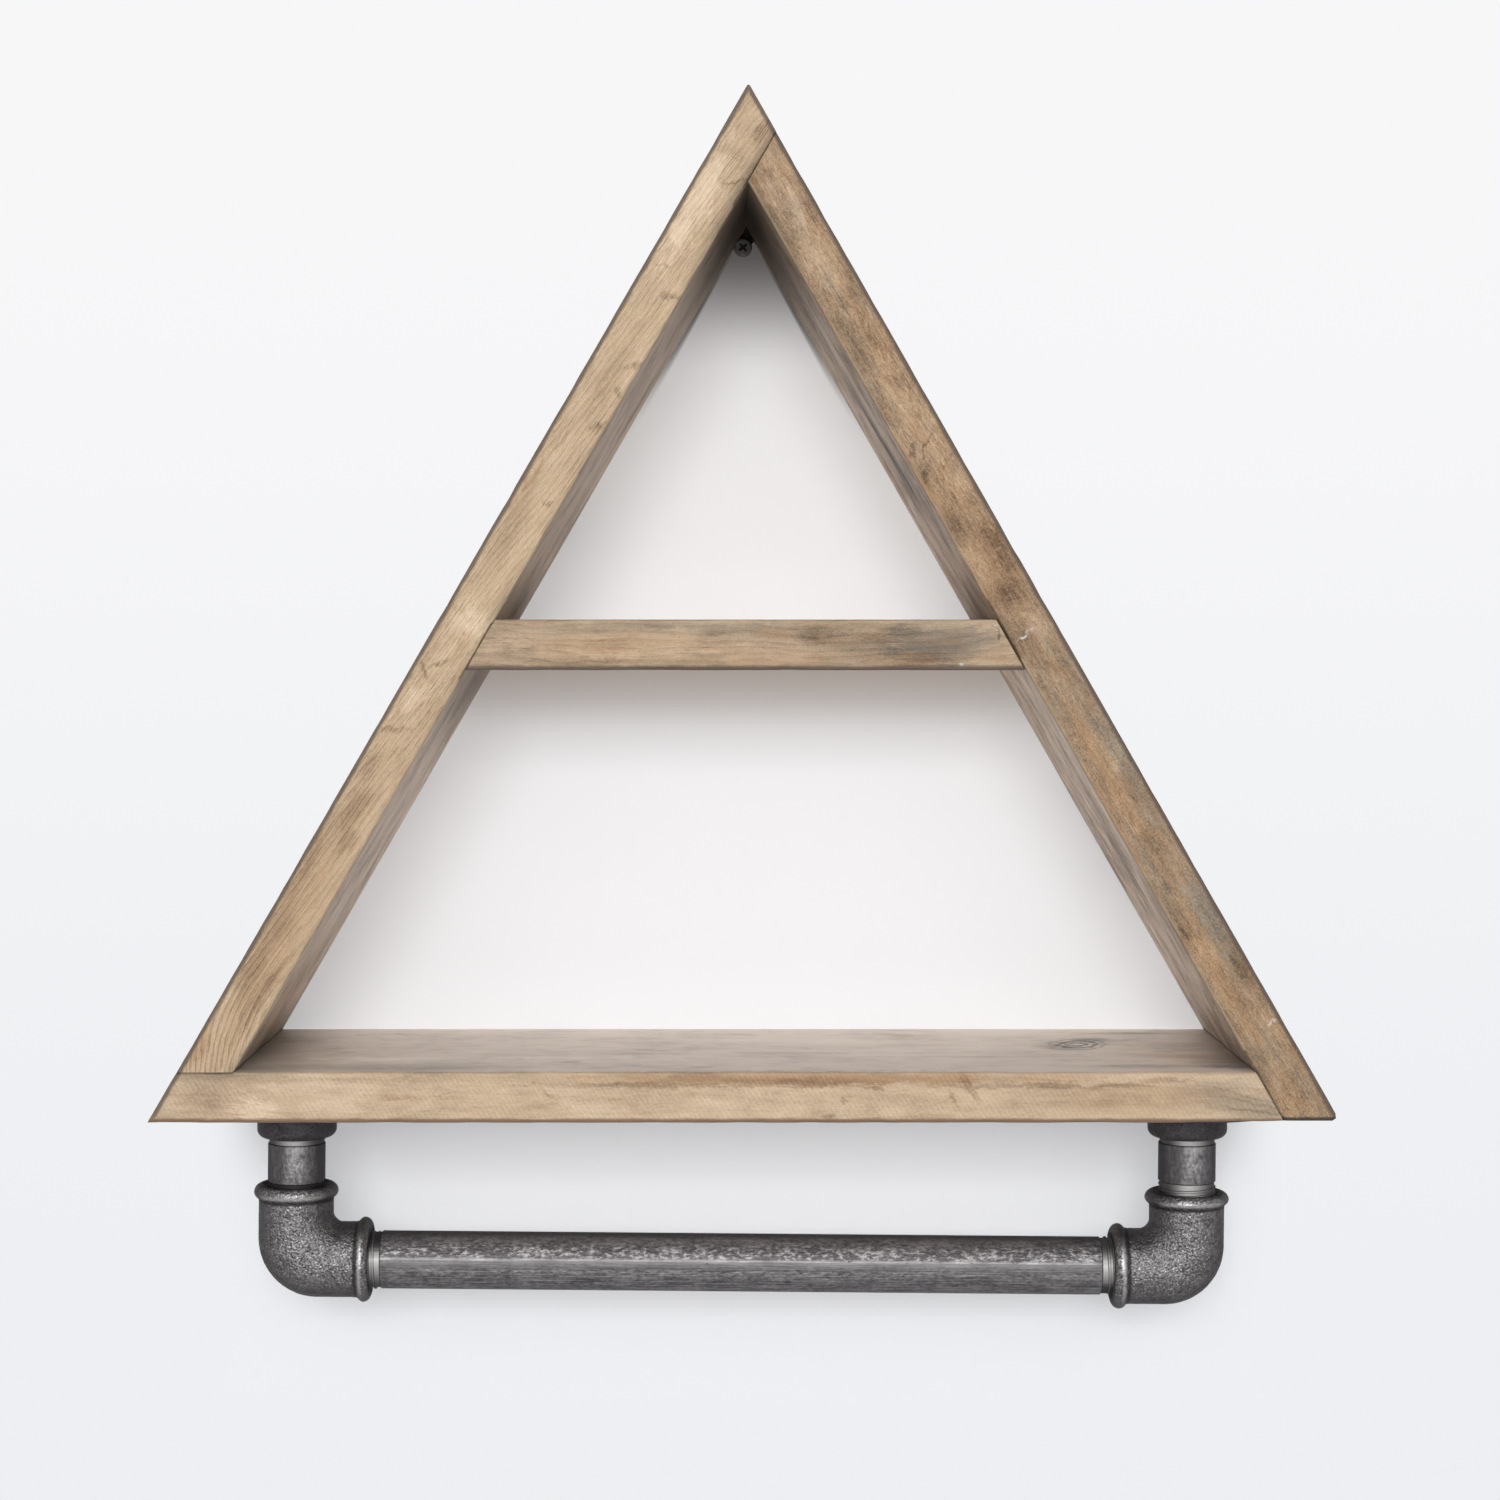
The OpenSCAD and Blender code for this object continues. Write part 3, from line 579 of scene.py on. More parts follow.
class Board:
    """The wood of one board. Growth rings run through it round its pith, so they meet at the
    edges, and its marks lie where they are set."""

    def __init__(self, name):
        turn, corner, self.thickness = BOARDS[name]
        self.name = name
        self.look = LOOKS[name]
        self.finish = Finish(name + "_wood")
        self.point = self.finish.place(turn, corner)
        self.along, self.depth, self.through = self.finish.axes(self.point)
        self.edge = self.depth.ramp(2.4, 0.8)
        self.face = 1 - self.edge
        self.outside = self.through.ramp(self.thickness * 0.6, self.thickness * 0.4) * self.face
        self.tilt = math.radians(self.look["tilt"])
        self.bend_outlines()
        self.grow_rings()
        self.add_clouds()
        self.add_ridges()

    def noise(self, name, point, turn=0):
        return self.finish.noise(point, *WOOD_NOISE[name], turn=turn)

    def bend_outlines(self):
        """The points, moved a little by noise, at which marks and stains are looked up."""
        push = self.finish.push
        self.wander = self.noise("wander", self.point)
        self.sway = self.noise("sway", self.point)
        self.ragged = push(self.point, self.wander * 2.6, self.sway * 1.3, self.sway * 1.1)
        self.smooth = push(self.point, self.wander * 0.5, 0, self.sway * 0.4)

    def grow_rings(self):
        """The dark wood of the rings, 1 at its darkest. The rings bend away near one end."""
        bend_from, bend = self.look["bend"]
        past = (self.along - bend_from).most(0)
        drift = self.noise("drift", self.point)
        self.bent = self.finish.push(self.point, 0, drift * 2.5, drift * 1.4 - past * past * bend)
        sizes = (RING_LENGTH, self.look["ring"], self.look["ring"])
        turn = (0, self.tilt, self.tilt / 3)
        rings = self.finish.length(self.finish.cell(self.bent, self.look["pith"], sizes, turn))
        phase = (rings + self.noise("wave", self.point) * 0.5).math("FRACT")
        self.lines = phase.ramp(0.35, 0.9) * phase.ramp(1, 0.93)

    def add_clouds(self):
        self.fibre = self.noise("fibre", self.bent, self.tilt)
        self.fine = self.noise("fine", self.bent, self.tilt)
        self.speck = self.noise("speck", self.point)
        self.mottle = self.noise("mottle", self.ragged)
        self.cloud = self.noise("cloud", self.ragged, self.tilt)
        self.grey = self.noise("grey", self.ragged, self.tilt)
        self.warm = self.noise("warm", self.ragged, self.tilt)
        self.rim = weigh((self.fibre, self.fine, self.mottle), (0.35, 0.35, 0.5))

    def ripple(self, through, turn, pitch, sway, unevenness, level):
        """Fine ridges on the front edge, at a turn to the board."""
        way = self.along * math.sin(turn) + through * math.cos(turn) + self.sway * sway
        ridges = (way * (math.tau / pitch)).math("SINE")
        return ridges * (self.mottle * unevenness + level) * self.edge

    def add_ridges(self):
        """Marks of the plane along the grain, and of the saw at the board's own turn."""
        comb = self.ripple(self.finish.axes(self.bent)[2], self.tilt, COMB_PITCH, *COMB)
        turn, pitch, height = self.look["saw"]
        saw = self.ripple(self.through, math.radians(turn), pitch, *SAW)
        self.ridges = comb * self.look["comb"] + saw * height

    def mark(self, kind, centre, sizes, turn):
        """1 in the middle of a mark and 0 outside it. The grain breaks up a ragged rim."""
        point = self.smooth if kind in SMOOTH_MARKS else self.ragged
        reach = self.finish.length(self.finish.cell(point, centre, sizes, turn))
        if kind not in MARK_RIMS:
            return ((1.2 - reach) * 1.2 + self.rim).ramp(0, 1)
        mask = reach.ramp(*MARK_RIMS[kind])
        if kind == "knot":
            mask = mask * (reach * 2.4).math("FRACT").ramp(0.3, 0.7)
        return mask

    def places(self):
        """Kind, centre, half sizes, turn and strength of each mark."""
        for kind, marks in self.look["edge_marks"].items():
            for (along, through), (long, wide), turn, strength in marks:
                turns = (0, math.radians(turn), 0)
                yield kind, (along, 0, through), (long, EDGE_MARK_DEPTH, wide), turns, strength
        for kind, marks in self.look["face_marks"].items():
            for centre, sizes, turn, strength in marks:
                turns = (0, 0, math.radians(turn))
                yield kind, centre + (self.thickness,), sizes + (FACE_MARK_DEPTH,), turns, strength

    def marks(self):
        """Amount of each kind of mark, with the stains that noise lays on."""
        blend = 0.75 - self.outside * 0.45
        amounts = {"grey": (self.grey + self.look["grey"]).ramp(0, 1) * blend,
                   "warm": (self.warm + self.look["warm"]).ramp(0, 1) * blend, "dark": 0, "pale": 0}
        for kind, centre, sizes, turn, strength in self.places():
            mask = self.mark(kind, centre, sizes, turn) * strength
            kind = "pale" if kind == "line" else kind
            amounts[kind] = mask.most(amounts.get(kind, 0))
        return amounts

    def tone(self, dark, pale):
        """How light the wood is, from 0 to 1, with its grain, its ridges and its marks."""
        look = self.look
        tone = self.mottle * look["mottle"] + self.cloud * look["cloud"]
        tone = tone * (1 - self.outside * 0.6) + self.fibre * (self.outside * 0.1 + look["fibre"])
        tone = tone - self.lines * (self.outside * 0.06 + look["lines"])
        tone = tone + self.fine * look["fine"] + self.speck * look["speck"]
        tone = tone + self.face * (self.fibre + self.mottle + self.cloud) * 0.08
        tone = tone * (1 - self.face * look["calm"])
        tone = tone - self.lines * self.along.ramp(*FOOT) * self.edge * look["foot"]
        tone = tone * (dark * 0.4 + 1) + (pale - dark) * 0.42
        return tone + self.ridges + look["lines"] * 0.4 + 0.5

    def arris_light_and_seams(self, shade):
        """Painted shade along the outer arrises and a painted highlight along the inner ones, and black
        lines where the boards meet.
        """
        mix = self.finish.mix
        wobble = self.wander * 0.3
        from_outside = from_outer_face(self.finish, TRIANGLE).math("MINIMUM", self.through)
        outer = (from_outside.most(self.depth) + wobble).ramp(*OUTER_ARRIS)
        from_inner = (self.thickness - self.through).most(self.depth) + wobble
        joined = 0
        for low, high in self.look["seams"]:
            joined = (self.along.ramp(low - 1, low) * self.along.ramp(high, high - 1)).most(joined)
        arris = ARRIS_SHADOW
        if self.name == "bottom_board":
            arris = mix(self.through.ramp(3, 2), ARRIS_SHADOW, ARRIS_WARM_SHADOW)
        shade = mix(outer * 0.85, shade, arris)
        up = from_outer_face(self.finish, ("bottom_board",)) + wobble
        if self.name == "right_board":
            shade = mix((up - RISE).ramp(*UNDERSIDE) * 0.9, shade, SEAM_DARK)
        shade = mix(from_inner.ramp(*INNER_ARRIS) * (1 - joined) * 0.35, shade, ARRIS_HIGHLIGHT)
        if self.name in ("left_board", "right_board"):
            shade = mix((up - LEVEL_T).ramp(*CONTACT) * self.face * 0.85, shade, SEAM_DARK)
        return mix(from_inner.ramp(*SEAM) * joined * 0.8, shade, SEAM_DARK)

    def material(self):
        finish = self.finish
        amounts = self.marks()
        tone = self.tone(amounts.pop("dark"), amounts.pop("pale"))
        palettes = {"edge": self.look["edge"], "face": self.look["face"], "grey": GREY, "warm": WARM}
        shades = {kind: finish.shades(tone, tuple(zip(STEEP, stops))) for kind, stops in palettes.items()}
        shade = finish.mix(self.edge, shades["face"], shades["edge"])
        shade = finish.mix(amounts.pop("grey"), shade, shades["grey"])
        shade = finish.mix(amounts.pop("warm"), shade, shades["warm"])
        for kind, amount in amounts.items():
            shade = finish.mix(amount, shade, MARK_SHADES[kind])
        shade = self.arris_light_and_seams(shade)
        relief = (self.fine, self.fibre, self.lines, self.speck, self.ridges)
        relief = weigh(relief, (0.5, 0.4, -0.4, 0.3, 6))
        rough = weigh((self.mottle, self.fibre), (0.05, 0.04), WOOD_ROUGH)
        more = {"Specular IOR Level": WOOD_SHINE, "Coat Weight": self.face * self.look["coat"],
                "Coat Roughness": COAT_ROUGH}
        return finish.surface(shade, rough, relief, WOOD_DEPTH, more)


# Pipes, in mm: outer radius, length of a threaded end, and pitch, root and tip of the thread with
# the radius midway, the turns of it that are modelled, and the steps in a turn
PIPE_R = 10.67
THREAD_LEN = 18
THREAD_PITCH = 1.814
THREAD_ROOT = 10.0
THREAD_TIP = 10.62
THREAD_TURNS = 3
THREAD_STEPS = 72
FLANK_R = 10.41
# A thread's section, as radius and rise along the pipe: two corners in the root, two on the tip
THREAD_SECTION = ((THREAD_ROOT, 0.2), (THREAD_TIP, 0.6), (THREAD_TIP, 1.1), (THREAD_ROOT, 1.5))
THREAD_START = 0.1
# Elbows, in mm: centre to mouth, radius and width of a bead, and where on it the painted highlight lies
ELBOW_REACH = 28.4
BEAD_R = 15.7
BEAD_W = 4.8
BEAD_SHINE = 3.3

left_elbow, right_elbow = (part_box(name) for name in ("left_elbow", "right_elbow"))
elbow_drop = left_elbow[0][2] - right_elbow[0][2]
elbow_run = right_elbow[1][0] - left_elbow[0][0] - 2 * BEAD_R * MM
rail_slope = math.atan2(elbow_drop, elbow_run)

# Turn about Y and centre from which each pipe is measured, and its length in mm
PIPES = {}
for pipe_name, pipe_turn in (("rail_pipe", rail_slope), ("left_nipple", -math.pi / 2),
                             ("right_nipple", -math.pi / 2)):
    low, high = (Vector(corner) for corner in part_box(pipe_name))
    PIPES[pipe_name] = (pipe_turn, (low + high) / 2, max(high - low) / MM)

# Weld seam of the rail and its worn band, which also holds a painted highlight, round it from its front,
# and the painted highlight band, band of painted shade and painted highlight at the rim of the nipples.
# On pipes and castings, ranges are in mm and the other numbers weights
RAIL_SEAM = tuple(math.radians(angle) * PIPE_R for angle in (-3, 14))
RAIL_WORN_HIGHLIGHT_BAND = tuple(math.radians(angle) * PIPE_R for angle in (17, 56))
NIPPLE_HIGHLIGHT = -1.5
NIPPLE_SHADE_BAND = 5
NIPPLE_LIT_RIM = 9.5
# Pipe colours hold painted light: the colour for the rail's top and the nipples' sides is painted shade, and
# the worn colour also paints highlights
PIPE_DARK = (0.085, 0.079, 0.083)
PIPE_LIGHT = (0.34, 0.325, 0.33)
PIPE_SHADED_SIDE = (0.066, 0.06, 0.065)
PIPE_WORN_HIGHLIGHT = (0.40, 0.39, 0.385)
PIPE_SEAM = (0.086, 0.082, 0.083)
MACHINED = (0.37, 0.36, 0.355)
MACHINED_SHADED = (0.10, 0.095, 0.095)
# The next colour is both dirt on the pipes and painted shade in thread flanks, mouths, grooves and the
# screw's recess
DIRT_AND_SHADE = (0.035, 0.033, 0.034)
METAL_EDGE = (0.3, 0.3, 0.3, 1)
METAL = {"Metallic": 0.65, "Specular Tint": METAL_EDGE}
SEAM_COVER = 0.7
PIPE_DEPTH = 0.12


def rail_wear_and_painted_light(around, scale, patch, streak):
    """Seam, worn spots, skin and far side of the rail: a smooth seam along its front, worn spots over it
    in a band that is also a painted highlight, a thin painted highlight line below that band, and
    painted shade on the far side, at its top."""
    low, high = RAIL_SEAM
    seam_and_shade_band = around.ramp(low - 1.6, low + 0.6) * around.ramp(high + 0.3, high - 0.3)
    low, high = RAIL_WORN_HIGHLIGHT_BAND
    zone = around.ramp(low - 0.6, low + 0.8) * around.ramp(high, high - 5)
    under = around.ramp(low + 1, low - 2)
    line = abs(around - (low - 0.5)).ramp(0.6, 0.1) * (patch * 0.4 + 0.35).clamp()
    spots = weigh((scale, patch), (1.5, 0.6)).ramp(-0.2, 1.3) * (zone * 1.05 + 0.03)
    skin = weigh((scale, patch, zone), (0.35, 0.2, -0.16), 0.3) + streak * (under * 0.45 + 0.1)
    skin = skin + under * around.ramp(low - 11, low - 2) * 0.12
    return seam_and_shade_band, spots.most(line), skin, around.ramp(high, high + 5)


def nipple_light_and_shade(around, along, start, scale, patch, streak):
    """The same of a nipple: a band of painted highlight with a brighter ring at its top, a band of
    painted shade beside it, a faint painted highlight at one rim, and painted shade on both sides.
    The highlight band fades downwards."""
    zone = abs(around - NIPPLE_HIGHLIGHT).ramp(6.5, 0.5)
    rim = abs(around - NIPPLE_LIT_RIM).ramp(2, 0.3)
    seam_and_shade_band = abs(around - NIPPLE_SHADE_BAND).ramp(3, 0.6) * (patch * 0.5 + 0.7).clamp()
    light = zone * (along.ramp(-start, start) * 0.45 + 0.45) + rim * 0.2 + 0.03
    spots = weigh((scale, patch, streak), (0.9, 0.5, 0.1)).ramp(-0.7, 1.3) * light
    ring = along.ramp(start - 5, start - 1) * zone
    ring = ring * weigh((scale, streak), (0.6, 0.3), 0.75).clamp()
    skin = weigh((scale, patch, zone), (0.3, 0.2, 0.2), 0.12)
    return seam_and_shade_band, spots.most(ring), skin, abs(around).ramp(6, 11)


def pipe(name):
    """Dark mill scale, worn light in patches that also paint highlights, painted shade on its far side,
    and bright cut ends, painted lighter at the front, with flanks painted dark as shade.
    """
    turn, centre, length = PIPES[name]
    finish = Finish(name + "_steel")
    along, depth, across = finish.axes(finish.place(turn, centre))
    around = across.math("ARCTAN2", 0 - depth) * PIPE_R
    skin = finish.combine(along, around, 0)
    scale = finish.noise(skin, (2.2, 1.3, 1), 21, detail=3, roughness=0.6)
    patch = finish.noise(skin, (9, 5, 1), 22, detail=2)
    streak = finish.noise(skin, (22, 0.42, 1), 23, detail=3)
    specks = finish.noise(skin, (1.7, 0.9, 1), 24, detail=1).ramp(0.95, 1.25)
    start = length / 2 - THREAD_LEN
    if name == "rail_pipe":
        seam_and_shade_band, wear_and_highlight, skin, shaded_side = rail_wear_and_painted_light(around, scale, patch, streak)
    else:
        seam_and_shade_band, wear_and_highlight, skin, shaded_side = nipple_light_and_shade(around, along, start, scale, patch, streak)
    shade = finish.mix(skin.clamp(), PIPE_DARK, PIPE_LIGHT)
    shade = finish.mix(shaded_side, shade, PIPE_SHADED_SIDE)
    shade = finish.mix(seam_and_shade_band * SEAM_COVER, shade, PIPE_SEAM)
    shade = finish.mix(wear_and_highlight * 0.85, shade, PIPE_WORN_HIGHLIGHT)
    shade = finish.mix(specks * (1 - seam_and_shade_band * SEAM_COVER) * 0.8, shade, DIRT_AND_SHADE)

    # Cut ends: painted highlight at the front and painted shade at the sides, painted shade on the thread's
    # flanks, and painted shade on the left nipple's end inside the elbow's mouth
    bright = finish.mix(abs(around).ramp(10, 1), MACHINED_SHADED, MACHINED)
    if name == "left_nipple":
        bright = finish.mix(along.ramp(0, -1), bright, DIRT_AND_SHADE)
    flank = abs(finish.radius(0, depth, across) - FLANK_R).ramp(0.17, 0.1)
    bright = finish.mix(flank * 0.75, bright, DIRT_AND_SHADE)
    end = abs(along).ramp(start - 0.6, start - 0.1)
    shade = finish.mix(end, shade, bright)
    rough = weigh((scale, seam_and_shade_band, end), (0.06, -0.04, 0.08), 0.5)
    relief = (scale * (1 - seam_and_shade_band * 0.8) + streak * 0.2 - specks) * (1 - end)
    return finish.surface(shade, rough, relief, PIPE_DEPTH, METAL)


def elbow_centre(name):
    """The point where the axes of an elbow's two mouths meet, and the way its level mouth looks."""
    low, high = (Vector(corner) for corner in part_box(name))
    side = 1 if name == "left_elbow" else -1
    corner_x = low.x + BEAD_R * MM if side == 1 else high.x - BEAD_R * MM
    return Vector((corner_x, (low.y + high.y) / 2, low.z + BEAD_R * MM)), side


# Colours of the castings; the brightest is a painted highlight on the beads
ELBOW_DARK = (0.05, 0.046, 0.048)
ELBOW_LIGHT = (0.46, 0.445, 0.445)
ELBOW_SHINE = (0.5, 0.485, 0.48)
CAST_DEPTH = 0.2


def casting(name):
    """Pebbled grey casting of an elbow, with a painted highlight on its front and on its beads, and
    painted shade inside its mouths and in the grooves behind its beads.
    """
    centre, side = elbow_centre(name)
    finish = Finish(name + "_iron")
    point = finish.place(0, centre)
    across, depth, up = finish.axes(point)
    pebbles = finish.noise(point, (0.8,) * 3, 31, detail=1)
    lumps = finish.noise(point, (2.2,) * 3, 32, detail=3)
    patch = finish.noise(point, (7,) * 3, 33, detail=2)
    sparks = finish.noise(point, (0.7,) * 3, 34, detail=0).ramp(0.2, 1.3)
    wear_and_highlight = crease_shade = shine = 0
    for way, out in ((up, (across, depth, 0)), (across * side, (0, depth, up))):
        from_mouth = ELBOW_REACH - way
        under = BEAD_R - finish.radius(*out)
        wear_and_highlight = (under.ramp(0.9, 0) * from_mouth.ramp(BEAD_W + 1.5, BEAD_W)).most(wear_and_highlight)
        # A painted highlight line on each bead
        line = abs(from_mouth - BEAD_SHINE).ramp(1.1, 0.1) * under.ramp(1.4, 0.7)
        shine = (line * (0 - depth).ramp(8, 15)).most(shine)
        # Painted shade in the groove behind each bead and inside each mouth
        groove = abs(from_mouth - BEAD_W - 0.5).ramp(1.1, 0.2) * under.ramp(0.4, 1.2)
        mouth = under.ramp(1.2, 2.4) * from_mouth.ramp(1.2, 0.5)
        crease_shade = (groove.most(mouth) * 0.85).most(crease_shade)
    # The front of the casting is painted lighter and more sparkly: a painted highlight
    front = weigh((pebbles, lumps, sparks), (0.14, 0.07, 0.5), 0.13) * (0 - depth).ramp(8, 14.4)
    tone = weigh((pebbles, lumps, sparks, patch), (0.08, 0.05, 0.03, 0.05), 0.12) + front
    shade = finish.mix(tone.clamp(), ELBOW_DARK, ELBOW_LIGHT)
    shine = shine * weigh((pebbles, lumps), (0.15, 0.2), 0.85).clamp() * 0.8
    shade = finish.mix(shine, shade, ELBOW_SHINE)
    shade = finish.mix(crease_shade, shade, DIRT_AND_SHADE)
    relief = weigh((pebbles, lumps), (0.6, 0.8)) * (1 - wear_and_highlight * 0.7)
    rough = weigh((lumps, wear_and_highlight), (0.05, -0.08), 0.45)
    return finish.surface(shade, rough, relief, CAST_DEPTH, METAL)


# The cross recess of the wall screw, painted dark as painted shade: its radius, its soft rim and its
# # depth below the head, in mm
RECESS_R = 2.1
RECESS_RIM = 0.3
RECESS_DROP = 0.2
# Material of each slot: name, dark and light colour, roughness, metallic and grain size in mm
STEELS = {
    "black_casting": ("black_iron", (0.028, 0.025, 0.027), (0.15, 0.138, 0.145), 0.5, 0.6, 0.9),
    "black_steel": ("blackened_steel", (0.015, 0.014, 0.014), (0.06, 0.056, 0.055), 0.5, 0.3, 0.5),
    "bright_steel": ("bright_nail_steel", (0.28, 0.275, 0.27), (0.55, 0.54, 0.53), 0.4, 0.9, 0.4),
    # The screw's zinc is darker than bare zinc, partly painted shade for its place deep in the apex
    "screw_steel": ("zinc", (0.12, 0.115, 0.11), (0.42, 0.41, 0.40), 0.4, 0.6, 0.4),
}
PATCH_GRAINS = 6
STEEL_DEPTH = 0.15


def steel(slot):
    """Plain steel or paint with fine scratches, blotches and a pebbled skin, and on the screw a cross
    recess painted dark as shade.
    """
    name, dark, light, rough, metallic, grain = STEELS[slot]
    finish = Finish(name)
    point = finish.place()
    pebbles = finish.noise(point, (grain,) * 3, 41, detail=3)
    patch = finish.noise(point, (grain * PATCH_GRAINS,) * 3, 42, detail=3)
    scratch = finish.noise(point, (9, 0.25, 0.25), 43, detail=2, turn=0.6)
    tone = weigh((pebbles, patch, scratch), (0.25, 0.2, 0.15), 0.4)
    shade = finish.mix(tone.clamp(), dark, light)
    if slot == "screw_steel":
        across, depth, up = finish.axes(point)
        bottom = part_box("wall_screw")[0][1] / MM + RECESS_DROP
        inside = finish.radius(across, 0, up).ramp(RECESS_R, RECESS_R - RECESS_RIM)
        shade = finish.mix(depth.ramp(bottom, bottom + RECESS_RIM) * inside, shade, DIRT_AND_SHADE)
    rough = weigh((pebbles, patch), (0.05, 0.05), rough)
    more = {"Metallic": metallic, "Specular Tint": METAL_EDGE}
    return finish.surface(shade, rough, scratch * 0.3 + pebbles, grain * STEEL_DEPTH, more)


def screw_thread(pipe_name, side):
    """Helical ridge on the seen stretch of a pipe's threaded end."""
    turn, centre, length = PIPES[pipe_name]
    bpy.ops.object.select_all(action="DESELECT")
    corners = len(THREAD_SECTION)
    bpy.ops.mesh.primitive_circle_add(vertices=corners, radius=1, fill_type="NOTHING")
    ridge = bpy.context.object
    ridge.name = pipe_name + ("_lower_thread" if side < 0 else "_upper_thread")
    for vertex, (radius, rise) in zip(ridge.data.vertices, THREAD_SECTION):
        vertex.co = Vector((radius, 0, rise)) * MM
    sweep = ridge.modifiers.new("sweep", "SCREW")
    sweep.screw_offset = THREAD_PITCH * MM
    sweep.iterations = THREAD_TURNS
    sweep.steps = THREAD_STEPS
    sweep.render_steps = THREAD_STEPS
    bpy.ops.object.modifier_apply(modifier="sweep")
    bpy.ops.object.mode_set(mode="EDIT")
    bpy.ops.mesh.select_all(action="SELECT")
    bpy.ops.mesh.fill_holes(sides=corners)
    bpy.ops.mesh.normals_make_consistent(inside=False)
    bpy.ops.object.mode_set(mode="OBJECT")
    bpy.ops.object.shade_smooth_by_angle()
    shoulder = Matrix.Translation((0, 0, (length / 2 - THREAD_LEN + THREAD_START) * MM))
    facing = Matrix.Rotation(turn, 4, "Y") @ Matrix.Rotation(side * math.pi / 2, 4, "Y")
    ridge.data.transform(Matrix.Translation(centre) @ facing @ shoulder)
    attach(ridge, "root")
    ridge.data.materials.append(FINISHES[pipe_name])


# Points nearer than this merge in the copies of CAD meshes, in mm
MERGED = 0.002
# Wear along the front arrises, in mm: length of a strip, reach and depth of the wear, length of a
# worn dip, and the seed and level of its noise
STRIP = 5
WEAR_REACH = 3
WEAR_DEPTH = 0.5
WEAR_WAVE = 11
WEAR_SEED = 5
WEAR_LEVEL = 0.05
# The lower edge rises towards the right tip: where it starts, its height and how far back it goes
RISE_FROM = 366
RISE = 0.9
RISE_BACK = 25
# Blunt tips: the corner on its board, its angle, and the distance of each cut from it with the
# turn of the cut in degrees
BLUNT = {
    "left_board": ((0, 0, 0), math.pi - left_angle - right_angle, ((0.5, 0), (0.6, 24), (0.6, -24))),
    "right_board": ((RISE / math.sin(right_angle), 0, 0), right_angle,
                    ((1.5, 0), (1.5, 28), (1.5, -28))),
}


def stand_in(name, ending):
    """A piece with a merged copy of a CAD node's mesh, shown in its place."""
    bpy.ops.object.select_all(action="DESELECT")
    piece = bpy.data.objects.new(name + ending, frame["nodes"][name].data.copy())
    bpy.context.collection.objects.link(piece)
    piece.select_set(True)
    bpy.context.view_layer.objects.active = piece
    bpy.ops.mesh.customdata_custom_splitnormals_clear()
    bpy.ops.object.mode_set(mode="EDIT")
    bpy.ops.mesh.select_all(action="SELECT")
    bpy.ops.mesh.remove_doubles(threshold=MERGED * MM)
    bpy.ops.object.mode_set(mode="OBJECT")
    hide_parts(name)
    return piece


def cut(place, way, off=False):
    """Cuts the mesh along a plane. What lies beyond it may come off, and the cut is closed."""
    bpy.ops.mesh.select_all(action="SELECT")
    bpy.ops.mesh.bisect(plane_co=place, plane_no=way, use_fill=off, clear_outer=off)


def cut_tips(name, placed, length):
    """Blunts the tip of a sloping board, and lifts the lower edge of the frame at its right tip."""
    rise = Vector((0, -RISE / RISE_BACK, -1))
    if name == "bottom_board":
        cut((RISE_FROM, 0, 0), rise + Vector((RISE / (length - RISE_FROM), 0, 0)), off=True)
    if name == "right_board":
        cut((0, RISE_BACK, 0), placed.to_quaternion().inverted() @ rise, off=True)
    if name in BLUNT:
        tip, angle, cuts = BLUNT[name]
        for gap, swing in cuts:
            way = Matrix.Rotation(math.radians(swing) - angle / 2, 3, "Y") @ Vector((-1, 0, 0))
            cut(Vector(tip) - way * gap, way, off=True)


def worn_board(name):
    """A board whose front arrises are rubbed down unevenly."""
    turn, corner, thickness = BOARDS[name]
    placed = Matrix.Translation(corner) @ Matrix.Rotation(turn, 4, "Y") @ Matrix.Scale(MM, 4)
    piece = stand_in(name, "_worn")
    piece.data.transform(placed.inverted())
    length = max(vertex.co.x for vertex in piece.data.vertices)
    bpy.ops.object.mode_set(mode="EDIT")
    cut_tips(name, placed, length)
    for along in range(STRIP, int(length), STRIP):
        cut((along, 0, 0), (1, 0, 0))
    cut((0, WEAR_REACH, 0), (0, 1, 0))
    cut((0, 0, WEAR_REACH), (0, 0, 1))
    cut((0, 0, thickness - WEAR_REACH), (0, 0, 1))
    bpy.ops.object.mode_set(mode="OBJECT")
    for vertex in piece.data.vertices:
        along, depth, through = vertex.co
        front = max(0, 1 - depth / WEAR_REACH)
        for sign, gap in ((1, through), (-1, thickness - through)):
            near = front * max(0, 1 - max(gap, 0) / WEAR_REACH)
            wave = noise.noise(Vector((along / WEAR_WAVE, sign * WEAR_SEED, thickness + length)))
            dip = near * max(0, wave + WEAR_LEVEL) * WEAR_DEPTH
            vertex.co += Vector((0, dip, sign * dip))
    piece.data.transform(placed)
    bpy.ops.object.shade_smooth_by_angle()
    return piece


# Castings, in mm: size of a voxel, rounds of smoothing, depth, size, fractal facts and level of the
# pebbled skin, radius of the body, width of a fillet behind a bead and height of it
VOXEL = 0.45
SMOOTHINGS = 2
SKIN_DEPTH = 0.06
SKIN_SIZE = 1.4
SKIN_FRACTAL = (1, 2, 2)
SKIN_LEVEL = 0.5
BODY_R = 13.95
FILLET_W = 1.4
FILLET_H = 0.4


def bead_radius(from_mouth):
    """Outer radius of an elbow's leg at a distance from its mouth: a round bead and a fillet."""
    half = BEAD_W / 2
    if from_mouth <= BEAD_W:
        height = math.sqrt(max(0, 1 - ((from_mouth - half) / half) ** 2))
        return BODY_R + max(height * (BEAD_R - BODY_R), FILLET_H * (from_mouth > half))
    return BODY_R + FILLET_H * max(0, 1 - (from_mouth - BEAD_W) / FILLET_W) ** 2


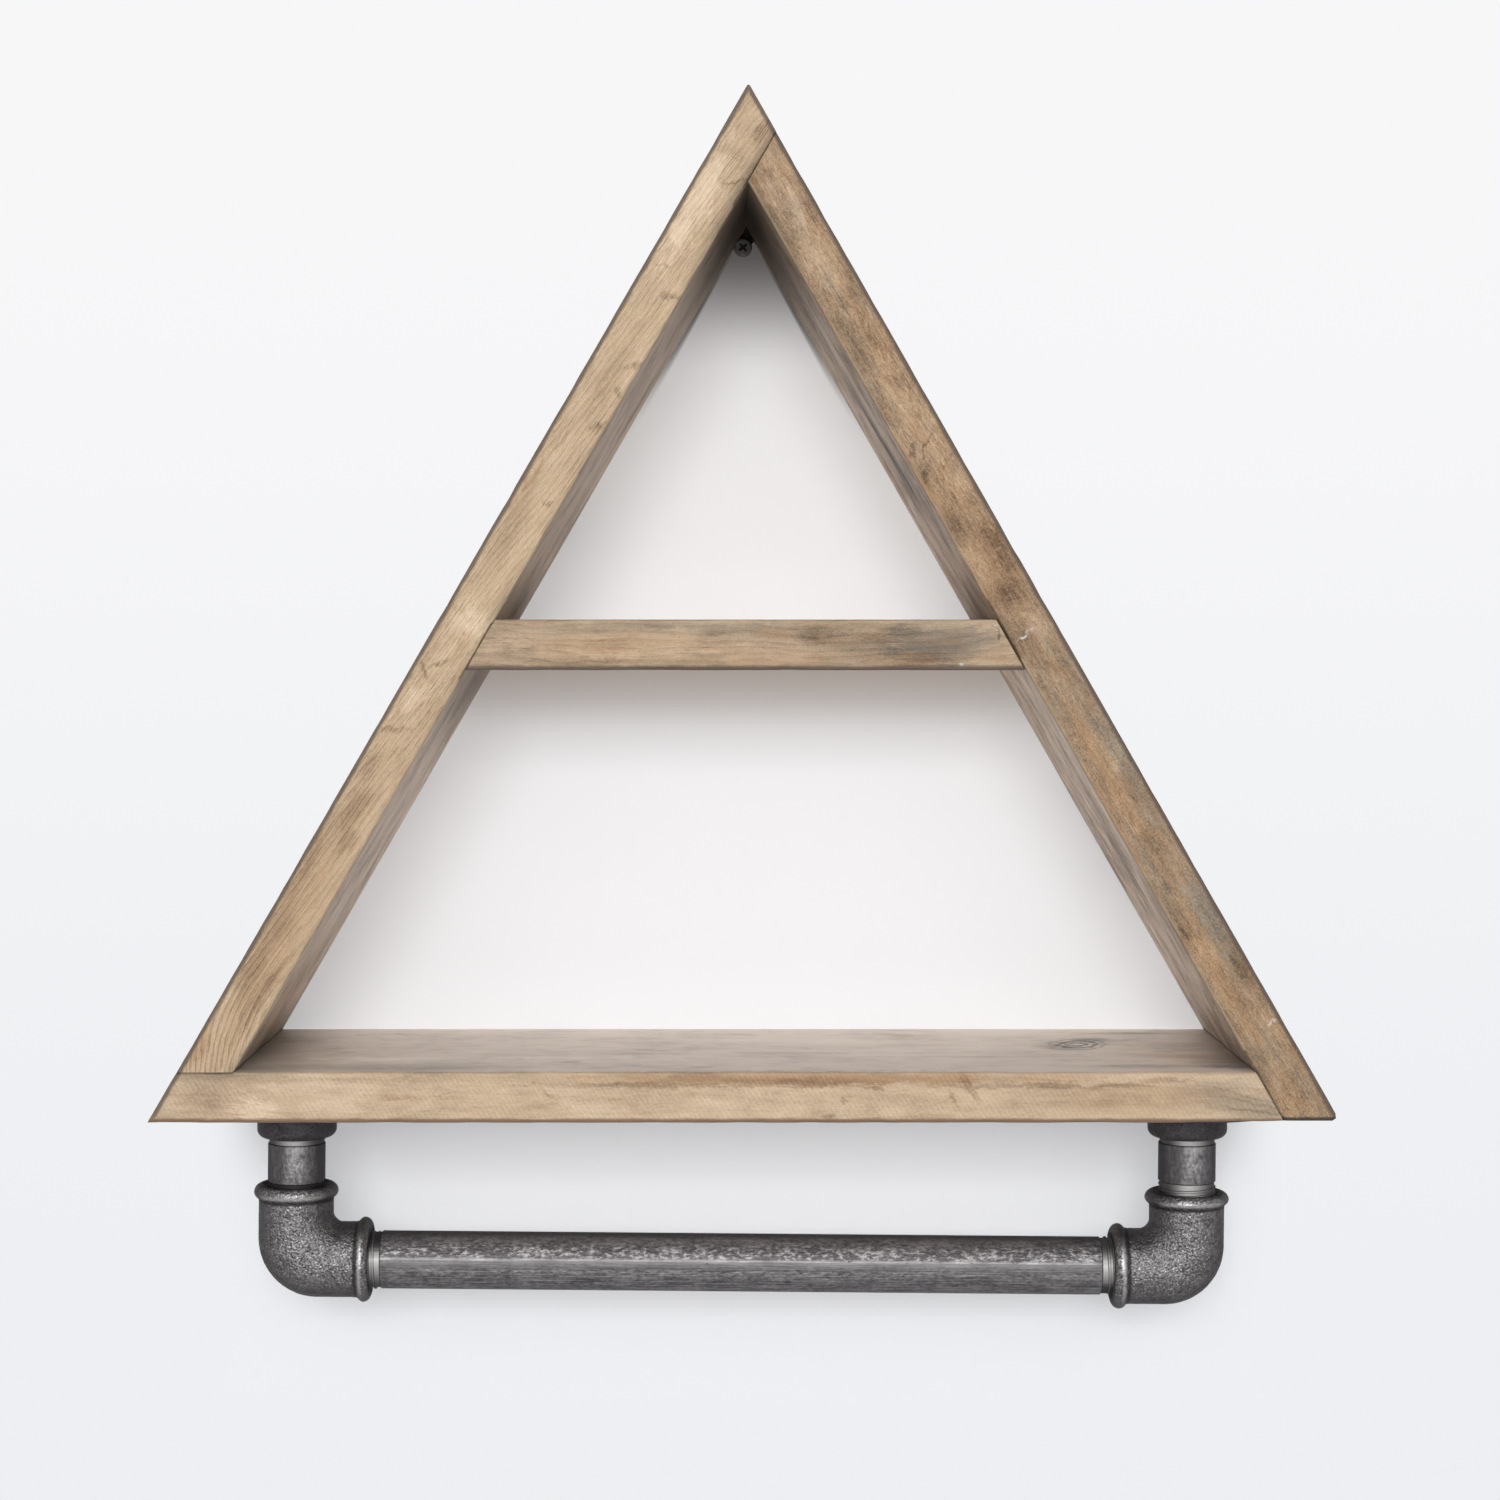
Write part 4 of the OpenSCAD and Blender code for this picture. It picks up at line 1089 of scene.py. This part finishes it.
def cast_elbow(name):
    """An elbow with slim round beads and the uneven skin of sand casting."""
    centre, side = elbow_centre(name)
    piece = stand_in(name, "_cast")
    remesh = piece.modifiers.new("remesh", "REMESH")
    remesh.mode = "VOXEL"
    remesh.voxel_size = VOXEL * MM
    bpy.ops.object.modifier_apply(modifier="remesh")
    smooth = piece.modifiers.new("smooth", "SMOOTH")
    smooth.iterations = SMOOTHINGS
    bpy.ops.object.modifier_apply(modifier="smooth")
    placed = Matrix.Translation(centre) @ Matrix.Scale(MM, 4)
    piece.data.transform(placed.inverted())
    normals = [vertex.normal.copy() for vertex in piece.data.vertices]
    for vertex, normal in zip(piece.data.vertices, normals):
        skin = noise.fractal(vertex.co / SKIN_SIZE, *SKIN_FRACTAL) - SKIN_LEVEL
        vertex.co += normal * min(0, skin) * SKIN_DEPTH
        for way in (Vector((0, 0, 1)), Vector((side, 0, 0))):
            from_mouth = ELBOW_REACH - vertex.co.dot(way)
            out = vertex.co - way * vertex.co.dot(way)
            most = bead_radius(from_mouth)
            if from_mouth < BEAD_W + FILLET_W and out.length > most:
                vertex.co -= out * (1 - most / out.length)
    piece.data.transform(placed)
    bpy.ops.object.shade_smooth()
    return piece


def paint(piece, finish):
    """Gives every face of a piece the same material."""
    for i in range(len(piece.data.materials)):
        piece.data.materials[i] = finish


bpy.context.scene.view_settings.view_transform = "Standard"
make_camera()
make_world()
for name, facts in LAMPS.items():
    make_lamp(name, *facts)
make_stage()

ELBOWS = ("left_elbow", "right_elbow")
FINISHES = {name: pipe(name) for name in PIPES}
FINISHES.update({name: Board(name).material() for name in BOARDS})
FINISHES.update({name: casting(name) for name in ELBOWS})
slot_finishes = {slot: steel(slot) for slot in STEELS}
stand_ins = {name: worn_board(name) for name in BOARDS}
stand_ins.update({name: cast_elbow(name) for name in ELBOWS})
for sub in frame["record"]["subparts"]:
    name = sub["node"]
    slot = sub["material_slot"]
    finish = FINISHES.get(name) or slot_finishes[slot]
    paint(frame["nodes"][name], finish)
    if name in stand_ins:
        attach(stand_ins[name], "root")
        paint(stand_ins[name], finish)

for name in PIPES:
    for side in (-1, 1):
        screw_thread(name, side)
